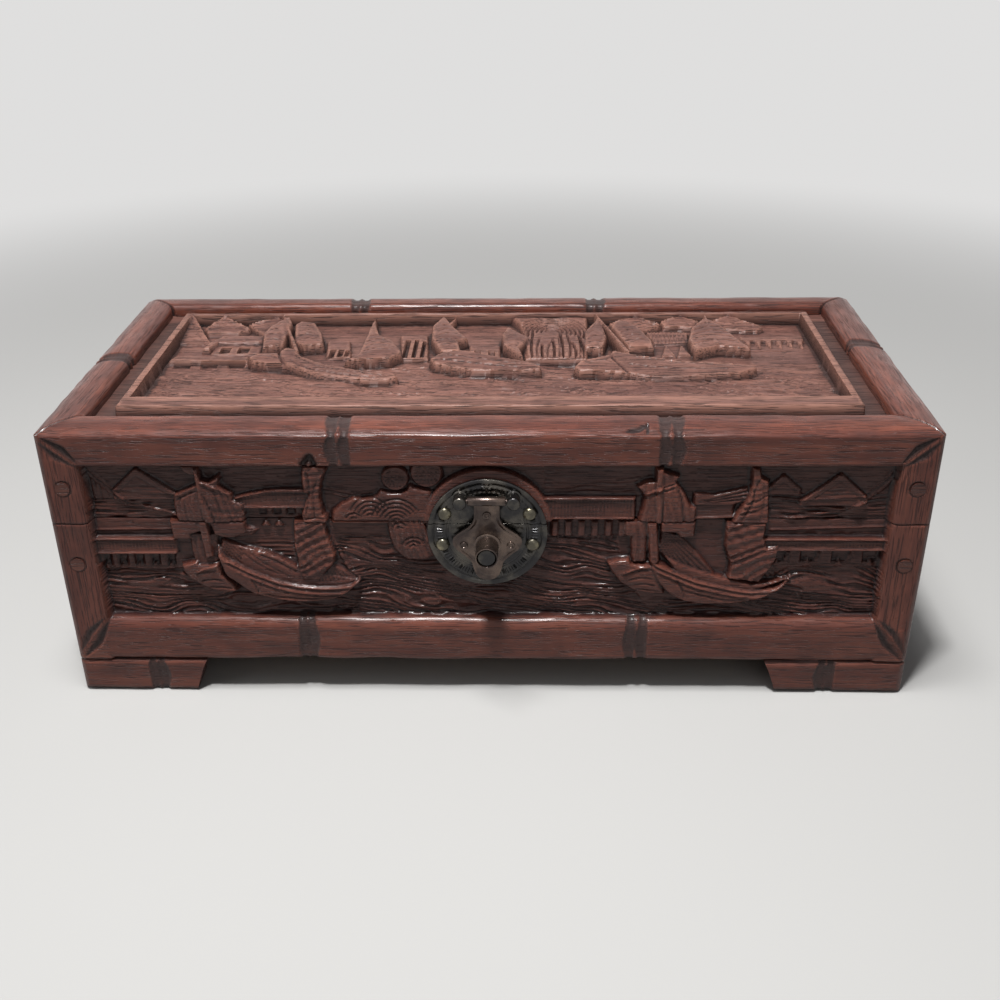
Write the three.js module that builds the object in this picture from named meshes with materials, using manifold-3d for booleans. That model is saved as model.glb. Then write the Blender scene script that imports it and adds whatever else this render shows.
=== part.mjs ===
// Carved hardwood treasure box with bamboo-shaped rails, a harbour of junks carved in sunk panels,
// bracket feet, a hinged lid and a round two-part brass lock plate with a hasp and a push barrel.
// Millimetres. X runs along the front, Y from the front to the back, Z up from the foot soles.

import * as THREE from 'three';
import { mergeVertices } from 'three/addons/utils/BufferGeometryUtils.js';
import Module from 'manifold-3d';

const wasm = await Module();
wasm.setup();

// The case
const BOX_LENGTH = 300;
const BOX_DEPTH = 140;
const BOX_HEIGHT = 105.6;
const SAW_HEIGHT = 69.8; // where the closed box is sawn into base and lid
const FOOT_HEIGHT = 13.4;
const WALL_THICKNESS = 14;
const CARVING_DEPTH = 5; // from the rail faces down to the carved ground
const CORNER_RADIUS = 3.6;
const POST_WIDTH = 13.5;
const TOP_RAIL_HEIGHT = 13.8;
const BOTTOM_RAIL_HEIGHT = 17.8;
const TOP_RAIL_ROUNDING = { outerLow: 2, innerHigh: 3, outerHigh: 5 };
const BOTTOM_RAIL_ROUNDING = { outerLow: 2.5, innerHigh: 0, outerHigh: 4.5 };
const POST_EDGE_ROUNDING = 2;
const JOINT_GAP = 0.3; // glue lines, saw cut and loose fits in the wood
const MITRE_CUT_WIDTH = 1.6;
const MITRE_CUT_DEPTH = 0.9;

// Bamboo nodes: a thin ridge between two scoops
const NODE_REACH = 4.6;
const NODE_SCOOP = 2.5;
const NODE_RIDGE = 0.6;
const NODE_DEPTH = 0.9;

// The lid panel, measured down from the rail tops
const LEDGE_DROP = 5.2;
const PANEL_THICKNESS = 6.9; // from the ledge to the underside
const FIELD_SINK = 1; // from the ledge down to the carved ground
const FRAME_RISE = 4.4; // from the ledge up to the raised frame's top
const PANEL_GROOVE = 5;
const LEDGE_WIDTH = 7.5;
const FRAME_SIDE_WIDTH = 3.5;
const FRAME_FRONT_WIDTH = 10;
const FRAME_BACK_WIDTH = 2;

// The bottom
const BOTTOM_THICKNESS = 6;
const BOTTOM_REBATE = 6;

// Feet
const FOOT_THICKNESS = 12;
const FOOT_FRONT_LEFT_LENGTH = 49;
const FOOT_FRONT_RIGHT_LENGTH = 53;
const FOOT_BACK_LENGTH = 48;
const FOOT_SIDE_LENGTH = 40;
const FOOT_UNDERCUT = 5;
const FOOT_NODE = 29;
const FOOT_ROUNDING = { outerLow: 2, innerHigh: 0, outerHigh: 1.4 };

// Corner pegs
const PEG_RADIUS = 2.5;
const PEG_LENGTH = 20;
const PEG_INSET = 7;
const PEG_LID_SHARE = 0.574; // of the height from the saw cut to the panel groove
const PEG_BELOW_SAW = 16;

// Round lock plate and its wooden boss
const BOSS_RADIUS = 22.3;
const BOSS_HEIGHT = 3;
const BOSS_BELOW_SAW = 2.3;
const PLATE_RADIUS = 20.5;
const PLATE_THICKNESS = 1;
const PLATE_RIM_WIDTH = 0.9;
const PLATE_RIM_RISE = 0.35;
const PLATE_BELOW_SAW = 3.6;
const LEAF_HEIGHT = 4.2; // the small pressed leaf at the plate's top
const LEAF_RISE = 0.6;
const METAL_GAP = 0.2; // running and fitting clearance of the metal pieces

// Domed studs that hold the plate
const STUD_RADIUS = 2.5;
const STUD_RISE = 1.7;
const STUD_SHANK_RADIUS = 0.8;
const STUD_SHANK_LENGTH = 5;
const STUD_PLACES = [
  { name: 'upper_left_plate_stud', x: -14.4, aboveSaw: 3.9 },
  { name: 'upper_right_plate_stud', x: 14.4, aboveSaw: 3.9 },
  { name: 'lower_left_plate_stud', x: -15.4, aboveSaw: -8 },
  { name: 'lower_right_plate_stud', x: 15.4, aboveSaw: -8 },
];

// Hasp, its posts and its pin
const HASP_PIN_ABOVE_SAW = 10.4;
const HASP_PIN_STANDOFF = 3.2; // from the plate's face to the pin's axis
const HASP_PIN_RADIUS = 0.85;
const KNUCKLE_RADIUS = 1.65;
const POST_SPACING = 18;
const POST_RADIUS = 2.3;
const POST_RISE = 6;
const POST_COLLAR_RADIUS = 2.45;
const POST_COLLAR_RISE = 0.5;
const POST_TENON_RADIUS = 1.1;
const POST_TENON_LENGTH = 4;
const HASP_THICKNESS = 1.15;
const HASP_NECK_WIDTH = 8.7;
const HASP_REACH = 31.3; // pin axis to the tip
const RIVET_RADIUS = 1.5;
const RIVET_RISE = 0.5;
const RIVET_SHANK_RADIUS = 0.7;
const RIVET_DIMPLE_RADIUS = 0.7;
const TOP_RIVET_DROP = 5.7;
const SIDE_RIVET_SPACING = 16;

// Push barrel on the hasp, with its plunger, spring and catch
const BARREL_DROP = 17.4; // pin axis to barrel axis
const BARREL_RADIUS = 3.85;
const BARREL_BORE_RADIUS = 3.35;
const BARREL_RISE = 8.8;
const BARREL_FLOOR = 0.8;
const FLANGE_RADIUS = 4.7;
const FLANGE_RISE = 0.8;
const PLUNGER_HEAD_RADIUS = 3.15;
const PLUNGER_HEAD_LENGTH = 1.8;
const PLUNGER_SUNK = 0.4;
const PLUNGER_STEM_RADIUS = 1.3;
const PLUNGER_STEM_ROOM = 0.6;
const PLUNGER_TRAVEL = 3.6;
const SPRING_MEAN_RADIUS = 2.3;
const SPRING_WIRE_RADIUS = 0.3;
const SPRING_TURNS = 4;
const CATCH_RADIUS = 4;
const CATCH_THICKNESS = 0.8;

// Rear butt hinges, set in so that the bevelled rear edges stop the lid
const HINGE_SPACING = 170;
const HINGE_LENGTH = 24;
const HINGE_PAD_WIDTH = 30;
const HINGE_PAD_HEIGHT = 13;
const HINGE_PIVOT_INSET = 2.5;
const HINGE_KNUCKLE_RADIUS = 2.2;
const HINGE_PIN_RADIUS = 0.9;
const HINGE_LEAF_WIDTH = 9.5;
const HINGE_LEAF_THICKNESS = 1.2;
const HINGE_CENTRE_KNUCKLE = 8;
const LID_STOP_DEGREES = 104;
const NAIL_SPACING = 14;
const NAIL_SHANK_RADIUS = 0.7;
const NAIL_HEAD_RADIUS = 1.4;
const NAIL_HEAD_THICKNESS = 0.5;
const NAIL_LENGTH = 8;
const NAIL_INSET = 3.6;

// Sizes that follow from the ones above
const HALF_LENGTH = BOX_LENGTH / 2;
const HALF_DEPTH = BOX_DEPTH / 2;
const GROUND_Y = -HALF_DEPTH + CARVING_DEPTH;
const BOSS_FACE_Y = GROUND_Y - BOSS_HEIGHT;
const PLATE_FACE_Y = BOSS_FACE_Y - PLATE_THICKNESS;
const PIN_Y = PLATE_FACE_Y - HASP_PIN_STANDOFF;
const PIN_Z = SAW_HEIGHT + HASP_PIN_ABOVE_SAW;
const HASP_BACK_Y = PIN_Y + KNUCKLE_RADIUS;
const HASP_FRONT_Y = HASP_BACK_Y - HASP_THICKNESS;
const BARREL_Z = PIN_Z - BARREL_DROP;
const BARREL_FRONT_Y = HASP_FRONT_Y - BARREL_RISE;
const LOCK_OVERHANG = -HALF_DEPTH - BARREL_FRONT_Y;
const PIVOT_Y = HALF_DEPTH - HINGE_PIVOT_INSET;
const LID_BOTTOM = SAW_HEIGHT + JOINT_GAP / 2;
const LOCK_Z = SAW_HEIGHT - PLATE_BELOW_SAW;
const PANEL_LEDGE = BOX_HEIGHT - LEDGE_DROP;
const PANEL_UNDERSIDE = PANEL_LEDGE - PANEL_THICKNESS;
const PANEL_GROUND = PANEL_LEDGE - FIELD_SINK;
const PANEL_FRAME_TOP = PANEL_LEDGE + FRAME_RISE;
const BASE_TOP = SAW_HEIGHT - JOINT_GAP / 2;

const RED_WOOD = new THREE.MeshStandardMaterial({ color: 0x6a3a2b, roughness: 0.55, metalness: 0 });
const DARK_WOOD = new THREE.MeshStandardMaterial({ color: 0x4b2a22, roughness: 0.6, metalness: 0 });
const PALE_WOOD = new THREE.MeshStandardMaterial({ color: 0x8a6248, roughness: 0.7, metalness: 0 });
const DARK_BRASS = new THREE.MeshStandardMaterial({ color: 0x4a443c, roughness: 0.4, metalness: 0.9 });
const HASP_BRASS = new THREE.MeshStandardMaterial({ color: 0x6b5a4a, roughness: 0.42, metalness: 0.9 });
const SPRING_STEEL = new THREE.MeshStandardMaterial({ color: 0x8c8c8a, roughness: 0.35, metalness: 1 });

// A closed geometry as a solid that can be joined and cut.
function solidOf(geometry) {
  const bare = geometry.clone();
  bare.deleteAttribute('normal');
  bare.deleteAttribute('uv');
  const merged = mergeVertices(bare, 1e-4);
  const corners = merged.index.array;
  const faces = [];
  for (let i = 0; i < corners.length; i += 3) {
    const [a, b, c] = [corners[i], corners[i + 1], corners[i + 2]];
    if (a !== b && b !== c && c !== a) faces.push(a, b, c);
  }
  const mesh = new wasm.Mesh({
    numProp: 3,
    vertProperties: Float32Array.from(merged.attributes.position.array),
    triVerts: Uint32Array.from(faces),
  });
  return new wasm.Manifold(mesh);
}

// A solid as a geometry with normals.
function geometryOf(solid) {
  const mesh = solid.getMesh();
  const geometry = new THREE.BufferGeometry();
  geometry.setAttribute('position', new THREE.BufferAttribute(Float32Array.from(mesh.vertProperties), 3));
  geometry.setIndex(new THREE.BufferAttribute(Uint32Array.from(mesh.triVerts), 1));
  geometry.computeVertexNormals();
  return geometry;
}

function joined(solids) {
  return solids.reduce((whole, solid) => whole.add(solid));
}

function cut(solid, cutters) {
  return cutters.reduce((whole, cutter) => whole.subtract(cutter), solid);
}

function block(xLow, xHigh, yLow, yHigh, zLow, zHigh) {
  const geometry = new THREE.BoxGeometry(xHigh - xLow, yHigh - yLow, zHigh - zLow);
  geometry.translate((xLow + xHigh) / 2, (yLow + yHigh) / 2, (zLow + zHigh) / 2);
  return solidOf(geometry);
}

// A plan outline standing between two heights.
function planPrism(outline, zLow, zHigh) {
  const geometry = new THREE.ExtrudeGeometry(outline, {
    depth: zHigh - zLow,
    bevelEnabled: false,
    curveSegments: 4,
  });
  geometry.translate(0, 0, zLow);
  return solidOf(geometry);
}

// An outline seen from the front (x, z), running back from yFront to yBack.
function frontPrism(outline, yFront, yBack, curveSegments = 6) {
  const geometry = new THREE.ExtrudeGeometry(outline, {
    depth: yBack - yFront,
    bevelEnabled: false,
    curveSegments,
  });
  geometry.rotateX(Math.PI / 2);
  geometry.translate(0, yBack, 0);
  return solidOf(geometry);
}

// An outline seen from the right end (y, z), running along X from xLow to xHigh.
function endPrism(outline, xLow, xHigh) {
  const geometry = new THREE.ExtrudeGeometry(outline, {
    depth: xHigh - xLow,
    bevelEnabled: false,
    curveSegments: 6,
  });
  geometry.rotateX(Math.PI / 2);
  geometry.rotateZ(Math.PI / 2);
  geometry.translate(xLow, 0, 0);
  return solidOf(geometry);
}

function polygon(points) {
  return new THREE.Shape(points.map(([x, y]) => new THREE.Vector2(x, y)));
}

function disc(x, y, radius, corners) {
  const turn = (Math.PI * 2) / corners;
  const points = Array.from({ length: corners }, (_, i) => [
    x + radius * Math.cos(i * turn), y + radius * Math.sin(i * turn),
  ]);
  return polygon(points);
}

// A turned piece: radius and height pairs revolved about Z.
function turned(profile, segments = 12) {
  const points = profile.map(([radius, height]) => new THREE.Vector2(radius, height));
  const geometry = new THREE.LatheGeometry(points, segments);
  geometry.rotateX(Math.PI / 2);
  return solidOf(geometry);
}

// A round bar or bore from one point to another.
function rod(from, to, radius, segments = 12) {
  const start = new THREE.Vector3(...from);
  const along = new THREE.Vector3(...to).sub(start);
  const geometry = new THREE.CylinderGeometry(radius, radius, along.length(), segments);
  geometry.translate(0, along.length() / 2, 0);
  geometry.applyQuaternion(
    new THREE.Quaternion().setFromUnitVectors(new THREE.Vector3(0, 1, 0), along.clone().normalize()),
  );
  geometry.translate(start.x, start.y, start.z);
  return solidOf(geometry);
}

// The section of a bamboo rail: a box with its outer edges rounded, as [across, up] points.
function railSection(yOuter, yInner, zLow, zHigh, radii) {
  const { outerLow, innerHigh, outerHigh } = radii;
  const outline = new THREE.Shape();
  outline.moveTo(yOuter + outerLow, zLow);
  outline.lineTo(yInner, zLow);
  outline.lineTo(yInner, zHigh - innerHigh);
  if (innerHigh > 0) outline.quadraticCurveTo(yInner, zHigh, yInner - innerHigh, zHigh);
  outline.lineTo(yOuter + outerHigh, zHigh);
  outline.quadraticCurveTo(yOuter, zHigh, yOuter, zHigh - outerHigh);
  outline.lineTo(yOuter, zLow + outerLow);
  outline.quadraticCurveTo(yOuter, zLow, yOuter + outerLow, zLow);
  return outline.getPoints(2).slice(0, -1);
}

// Where a bar with nodes at the given places has its rings, and how deep each ring is scooped.
function barStations(xLow, xHigh, nodes) {
  const stations = [{ x: xLow, scoop: 0 }];
  for (const node of [...nodes].sort((a, b) => a - b)) {
    stations.push({ x: node - NODE_REACH, scoop: 0 });
    stations.push({ x: node - NODE_SCOOP, scoop: NODE_DEPTH });
    stations.push({ x: node - NODE_RIDGE, scoop: 0 });
    stations.push({ x: node + NODE_RIDGE, scoop: 0 });
    stations.push({ x: node + NODE_SCOOP, scoop: NODE_DEPTH });
    stations.push({ x: node + NODE_REACH, scoop: 0 });
  }
  stations.push({ x: xHigh, scoop: 0 });
  return stations;
}

// A bamboo rail along X: its section is drawn in towards its middle at each scoop.
function bambooBar(xLow, xHigh, section, nodes) {
  const middle = section.reduce((sum, p) => sum.add(p), new THREE.Vector2()).divideScalar(section.length);
  const stations = barStations(xLow, xHigh, nodes);
  const positions = [];
  for (const { x, scoop } of stations) {
    for (const point of section) {
      const inward = middle.clone().sub(point);
      inward.multiplyScalar(scoop / inward.length());
      positions.push(x, point.x + inward.x, point.y + inward.y);
    }
  }
  const count = section.length;
  const faces = [];
  for (let ring = 0; ring + 1 < stations.length; ring += 1) {
    for (let i = 0; i < count; i += 1) {
      const here = ring * count + i;
      const next = ring * count + ((i + 1) % count);
      faces.push(here, next, here + count, next, next + count, here + count);
    }
  }
  const last = (stations.length - 1) * count;
  for (let i = 1; i + 1 < count; i += 1) {
    faces.push(0, i + 1, i, last, last + i, last + i + 1);
  }
  const geometry = new THREE.BufferGeometry();
  geometry.setAttribute('position', new THREE.Float32BufferAttribute(positions, 3));
  geometry.setIndex(faces);
  return solidOf(geometry.toNonIndexed());
}

// Carving. A figure is an outline on the carved ground, x along the wall and y up from the saw cut,
// and the height that it stands above the ground. A flat figure has square edges.
const FIGURE_EMBED = 1;
const FIGURE_BEVEL = 0.6;

function figureGeometry({ outline, height, flat }) {
  const bevel = flat ? 0 : FIGURE_BEVEL;
  const geometry = new THREE.ExtrudeGeometry(outline, {
    depth: height + FIGURE_EMBED - 2 * bevel,
    bevelEnabled: !flat,
    bevelThickness: bevel,
    bevelSize: bevel,
    bevelOffset: -bevel,
    bevelSegments: 1,
    curveSegments: 3,
  });
  geometry.translate(0, 0, bevel - FIGURE_EMBED);
  return geometry;
}

function plain(figures) {
  return figures.map((figure) => ({ ...figure, flat: true }));
}

function placed(points, place) {
  return points.map(([x, y]) => [place.x + x * place.wide, place.y + y * place.tall]);
}

// A three-masted junk about 60 long: hull, stern quarter, aft sail, main sail and fore sail.
function junk(place) {
  const at = (x, y) => [place.x + x * place.wide, place.y + y * place.tall];
  const hull = new THREE.Shape();
  hull.moveTo(...at(-23, 14.2));
  hull.quadraticCurveTo(...at(-17, -3.4), ...at(3, -4));
  hull.quadraticCurveTo(...at(16, -4), ...at(26, 5));
  hull.quadraticCurveTo(...at(10, 2.4), ...at(-2, 6));
  hull.quadraticCurveTo(...at(-14, 9.4), ...at(-23, 14.2));
  const stern = new THREE.Shape();
  stern.moveTo(...at(-37, 11.5));
  stern.quadraticCurveTo(...at(-33, 1.4), ...at(-14, -0.4));
  stern.lineTo(...at(-18, 11));
  stern.quadraticCurveTo(...at(-28, 8.6), ...at(-37, 11.5));
  const aftSail = polygon(placed([[-34, 42.5], [-32.5, 14], [-26.6, 12.5], [-26.4, 44.5]], place));
  const mainSail = polygon(
    placed(
      [[-22.4, 49], [-22.8, 11.5], [-18, 10.5], [-18.2, 23.5], [-9.6, 24.4], [-9, 28], [-17.8, 49]],
      place,
    ),
  );
  const foreSail = polygon(
    placed([[8, 49.6], [4, 28], [5, 4.6], [17, 4.6], [17.6, 28], [16, 48.8]], place),
  );
  return [
    { outline: hull, height: 4.4 },
    { outline: stern, height: 2.8 },
    { outline: aftSail, height: 2.6 },
    { outline: mainSail, height: 3.8 },
    { outline: foreSail, height: 4.2 },
  ];
}

// A small junk under one curved sail.
function sampan(place) {
  const at = (x, y) => [place.x + x * place.wide, place.y + y * place.tall];
  const hull = new THREE.Shape();
  hull.moveTo(...at(-22, 11));
  hull.quadraticCurveTo(...at(-15, -3), ...at(2, -3));
  hull.quadraticCurveTo(...at(16, -2), ...at(21, 6));
  hull.quadraticCurveTo(...at(8, 3), ...at(-4, 7));
  hull.quadraticCurveTo(...at(-12, 11.5), ...at(-22, 11));
  const sail = new THREE.Shape();
  sail.moveTo(...at(-20, 52));
  sail.quadraticCurveTo(...at(-26, 30), ...at(-15, 14));
  sail.lineTo(...at(-9, 14));
  sail.quadraticCurveTo(...at(-10, 36), ...at(-20, 52));
  return [
    { outline: hull, height: 4 },
    { outline: sail, height: 3.4 },
  ];
}

// A peak with its foot line.
function mountain(x, y, halfWidth, rise) {
  return [{ outline: polygon([[x - halfWidth, y], [x + halfWidth, y], [x, y + rise]]), height: 1.6 }];
}

// A wharf house: a long wall over water on a row of piles.
function wharf(xLow, xHigh, yDeck, yRoof, pileCount, pileLength) {
  const points = [[xLow, yRoof], [xLow, yDeck]];
  const bay = (xHigh - xLow) / (2 * pileCount + 1);
  for (let i = 0; i < pileCount; i += 1) {
    const left = xLow + bay * (2 * i + 1);
    const foot = yDeck - pileLength;
    points.push([left, yDeck], [left, foot], [left + bay, foot], [left + bay, yDeck]);
  }
  points.push([xHigh, yDeck], [xHigh, yRoof]);
  return [{ outline: polygon(points), height: 2.2, flat: true }];
}

function tree(x, y, radius) {
  return [{ outline: disc(x, y, radius, 12), height: 2, flat: true }];
}

// A low bank of rock and leaves.
function bank(xLow, xHigh, yLow, yHigh) {
  const outline = new THREE.Shape();
  const third = (xHigh - xLow) / 3;
  outline.moveTo(xLow, yLow);
  outline.lineTo(xHigh, yLow);
  outline.quadraticCurveTo(xHigh, yHigh, xHigh - third, yHigh);
  outline.quadraticCurveTo(xLow + third, (yLow + yHigh) / 2 + 3, xLow, yLow);
  return [{ outline, height: 1.8, flat: true }];
}

// A long low wave crest.
const WAVE_LENGTH = 24;
const WAVE_RISE = 1.1;
const WAVE_CREST = 0.9;

function wave(xLow, xHigh, y, phase) {
  const upper = [];
  const lower = [];
  const steps = Math.max(2, Math.round((xHigh - xLow) / (WAVE_LENGTH / 4)));
  for (let i = 0; i <= steps; i += 1) {
    const x = xLow + ((xHigh - xLow) * i) / steps;
    const lift = WAVE_RISE * Math.sin((2 * Math.PI * x) / WAVE_LENGTH + phase);
    upper.push([x, y + lift + WAVE_CREST]);
    lower.push([x, y + lift - WAVE_CREST]);
  }
  return [{ outline: polygon([...lower, ...upper.reverse()]), height: 1.2, flat: true }];
}

// The round raised seat of the lock plate.
const BOSS_FIGURE = { outline: disc(0, -BOSS_BELOW_SAW, BOSS_RADIUS, 36), height: BOSS_HEIGHT };

const FRONT_CARVING = [
  BOSS_FIGURE,
  ...junk({ x: -70, y: -29.8, wide: 1, tall: 1 }),
  ...junk({ x: 78, y: -29.8, wide: 1, tall: 1 }),
  ...mountain(-118.5, 10.6, 11.5, 9),
  ...mountain(98, 8, 12, 10.6),
  ...mountain(119, 8, 11.5, 10.6),
  ...wharf(-134.5, -110.5, -12.5, -4.2, 4, 6.6),
  ...wharf(100, 134.5, -12.5, -4.2, 4, 6.2),
  ...wharf(-85, -63, 6, 10.4, 3, 5),
  ...wharf(23.5, 52, 1.2, 8.2, 4, 7),
  ...bank(-56, -22, -3, 12),
  ...tree(-30.8, 17.2, 4.9),
  ...tree(-21.8, 17.4, 4.4),
  ...wave(-134, -108, -24, 0.4),
  ...wave(-42, 38, -28, 2),
  ...wave(106, 134, -24, 1),
];

const BACK_CARVING = plain([
  ...junk({ x: -10, y: -29.8, wide: 1, tall: 1 }),
  ...sampan({ x: 62, y: -29, wide: 1, tall: 0.9 }),
  ...mountain(-118, 8, 12, 11),
  ...mountain(112, 8, 13, 11),
  ...wharf(-134.5, -104, -12.5, -4.2, 4, 6.4),
  ...wharf(104, 134.5, -12.5, -4.2, 4, 6.4),
  ...wave(-134, -50, -30, 0.6),
]);

const END_CARVING = plain([
  ...junk({ x: 4, y: -29.8, wide: 1, tall: 1 }),
  ...mountain(-43, 8, 12, 11),
  ...mountain(42, 8, 12, 11),
  ...wharf(32, 56, -12.5, -4.2, 3, 6.4),
  ...wave(-56, -34, -24, 0.8),
]);

// A flat-topped figure of the lid panel: corners in x and y from the middle of the box.
function lidFigure(height, points) {
  return { outline: polygon(points), height, flat: true };
}

const LID_HILLS = [
  lidFigure(2.8, [[-126, 47], [-126, 24], [-112, 22.5], [-117, 32], [-124, 47]]),
  lidFigure(2.9, [[-118, 37], [-113, 47], [-110.5, 47], [-99.5, 37], [-104, 33], [-116, 33]]),
  lidFigure(2.9, [[-101, 41], [-92, 47], [-88, 47], [-84, 38], [-92, 31]]),
  lidFigure(2.9, [[47, 41], [56, 47], [60, 47], [68, 40], [60, 35], [50, 37]]),
  lidFigure(2.9, [[68, 43], [74, 47], [79, 47], [85, 41], [82, 38], [69, 39]]),
  lidFigure(2.9, [[88, 43], [94, 47], [98, 47], [109, 38], [106, 35], [90, 37]]),
];
const LID_HOUSES = [
  lidFigure(2.5, [[-113, 21.3], [-91, 21.3], [-91, 28.5], [-109, 28.5]]),
  lidFigure(1, [[-110, 12], [-91, 12], [-91, 21.5], [-110, 21.5]]),
  lidFigure(1.8, [[-124, 2.8], [-93.5, 2.8], [-93.5, 7], [-122, 8.5]]),
  lidFigure(1.4, [[-64, 8], [-54.5, 7], [-57, 25], [-66, 25]]),
  lidFigure(1.5, [[-34.4, 5], [-24.4, 4.5], [-26.4, 31], [-37.4, 31]]),
  lidFigure(1.2, [[-9, 6], [3, 6], [3, 20], [-9, 20]]),
  lidFigure(1.4, [[63.5, 22], [77, 22.3], [78, 34], [61.5, 34]]),
  lidFigure(1.2, [[98, 25], [123, 25.5], [123, 30], [98, 29]]),
  lidFigure(3.2, [[12.6, 2], [36.4, 2], [37.4, 22], [38.4, 47], [7, 47], [12, 30]]),
];
const LID_SAILS = [
  lidFigure(4.4, [[-89.4, 11.6], [-81.4, 14], [-82, 38], [-84.6, 46], [-90.4, 35], [-91.8, 27]]),
  lidFigure(4.1, [
    [-73.3, 13.2], [-65.9, 14.8], [-68.2, 27], [-73, 39.6], [-79.4, 41.4], [-81, 37], [-77.8, 17],
  ]),
  lidFigure(4.3, [
    [-55.8, -3], [-39, 0.2], [-34.4, 4.4], [-35.2, 9], [-44.8, 24], [-48.8, 47], [-49.9, 31], [-51.2, 3.6],
  ]),
  lidFigure(4.3, [
    [-19.6, 6.6], [-11.8, 7.6], [-13.4, 18], [-9.6, 20.4],
    [-15.8, 33], [-20.8, 46.6], [-24.8, 34], [-24.2, 20],
  ]),
  lidFigure(4.4, [[12.2, 1.2], [10.6, 9], [14.6, 20.5], [10.6, 26], [5.6, 34], [3.4, 23], [4.4, 12]]),
  lidFigure(4.3, [[42.6, 9.8], [45, 22], [43, 46.6], [40.4, 38], [36.4, 28], [35.6, 11.2]]),
  lidFigure(4.1, [[52.6, 11], [62.4, 11.6], [62.2, 19], [58, 34.4], [53.8, 41.4], [48.8, 40.4], [47.2, 34]]),
  lidFigure(4.3, [
    [77.6, 6.4], [87.3, 11.2], [99.4, 8.6], [96, 18.7], [91.2, 36], [86, 45], [79, 32], [76.4, 19],
  ]),
];
const LID_HULLS = [
  lidFigure(3.6, [
    [-90.4, -3], [-84, -5], [-79, -5], [-70, -9.8], [-62, -13.8], [-46.8, -16.8], [-38, -17], [-34.2, -14.8],
    [-46, -10.4], [-62, -5.2], [-71.8, 0.6], [-76.4, 7.3],
    [-79.6, 7.6], [-81.6, 3.6], [-88.6, 3.6], [-92.6, 0],
  ]),
  lidFigure(3.7, [
    [-21.6, -4.8], [-6.8, -10], [9, -10.6], [18.6, -9.4], [18.6, -6.4], [0, 1.8], [-11.5, 6], [-18.9, 4.2],
    [-23.4, -1],
  ]),
  lidFigure(3.6, [
    [33, -10.7], [50.4, -12.8], [58, -15.2], [70.2, -15.6], [91.5, -12.8], [98.6, -9.6], [98.2, -7.4],
    [86.8, -4.8], [69.3, -2.8], [52.9, 1.8], [46.2, 4.6], [43.4, 0.7], [33.6, -3], [30.8, -8.4],
  ]),
];
const LID_CARVING = [...LID_HILLS, ...LID_HOUSES, ...LID_SAILS, ...LID_HULLS];

// Turns a wall built as the front one so that it stands at another side of the box.
const SIDES = [
  { name: 'front', turn: 0, half: HALF_LENGTH, reach: HALF_DEPTH, carving: FRONT_CARVING,
    topNodes: [-49, 61.4], bottomNodes: [-64.8, 52.2] },
  { name: 'right', turn: Math.PI / 2, half: HALF_DEPTH, reach: HALF_LENGTH, carving: END_CARVING,
    topNodes: [10], bottomNodes: [-6] },
  { name: 'back', turn: Math.PI, half: HALF_LENGTH, reach: HALF_DEPTH, carving: BACK_CARVING,
    topNodes: [-42, 57], bottomNodes: [-58, 50] },
  { name: 'left', turn: -Math.PI / 2, half: HALF_DEPTH, reach: HALF_LENGTH, carving: END_CARVING,
    topNodes: [3], bottomNodes: [8] },
];

// Keeps what lies between the two mitre planes at the ends of a wall or a foot block.
function mitreWedge({ half, reach }) {
  const gap = JOINT_GAP / Math.SQRT2;
  const beyond = 10;
  const inside = 60;
  return planPrism(
    polygon([
      [-half + gap - beyond, -reach - beyond],
      [half - gap + beyond, -reach - beyond],
      [half - gap - inside, -reach + inside],
      [-half + gap + inside, -reach + inside],
    ]),
    -1,
    BOX_HEIGHT + 1,
  );
}

// The closed box's outer block with its four upright edges rounded.
function roundedBlock({ half, reach }) {
  const outline = new THREE.Shape();
  const r = CORNER_RADIUS;
  outline.moveTo(-half + r, -reach);
  outline.lineTo(half - r, -reach);
  outline.absarc(half - r, -reach + r, r, -Math.PI / 2, 0, false);
  outline.lineTo(half, reach - r);
  outline.absarc(half - r, reach - r, r, 0, Math.PI / 2, false);
  outline.lineTo(-half + r, reach);
  outline.absarc(-half + r, reach - r, r, Math.PI / 2, Math.PI, false);
  outline.lineTo(-half, -reach + r);
  outline.absarc(-half + r, -reach + r, r, Math.PI, Math.PI * 1.5, false);
  return planPrism(outline, -1, BOX_HEIGHT + 1);
}

// A corner post of the wall frame, with its inner edge eased.
function cornerPost({ half, reach }, hand) {
  const ease = POST_EDGE_ROUNDING;
  const outline = new THREE.Shape();
  const inner = half - POST_WIDTH;
  outline.moveTo(half, -reach);
  outline.lineTo(half, -reach + WALL_THICKNESS);
  outline.lineTo(inner, -reach + WALL_THICKNESS);
  outline.lineTo(inner, -reach + ease);
  outline.quadraticCurveTo(inner, -reach, inner + ease, -reach);
  outline.lineTo(half, -reach);
  const points = outline.getPoints(2).map((p) => [p.x * hand, p.y]);
  if (hand > 0) points.reverse();
  return planPrism(polygon(points), FOOT_HEIGHT, BOX_HEIGHT - TOP_RAIL_HEIGHT / 2);
}

// The carved cut along the mitre of two rails on a wall's face, from an outer to an inner corner.
function mitreCut(side, hand, zOuter, zInner) {
  const xOuter = hand * side.half;
  const xInner = hand * (side.half - POST_WIDTH);
  const start = new THREE.Vector2(xOuter, zOuter);
  const along = new THREE.Vector2(xInner, zInner).sub(start);
  const length = along.length();
  const geometry = new THREE.BoxGeometry(length * 1.2, MITRE_CUT_WIDTH, MITRE_CUT_WIDTH);
  geometry.rotateX(Math.PI / 4);
  geometry.rotateY(-along.angle());
  const lift = MITRE_CUT_WIDTH / Math.SQRT2 - MITRE_CUT_DEPTH;
  geometry.translate(start.x + along.x / 2, -side.reach - lift, start.y + along.y / 2);
  return solidOf(geometry);
}

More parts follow.
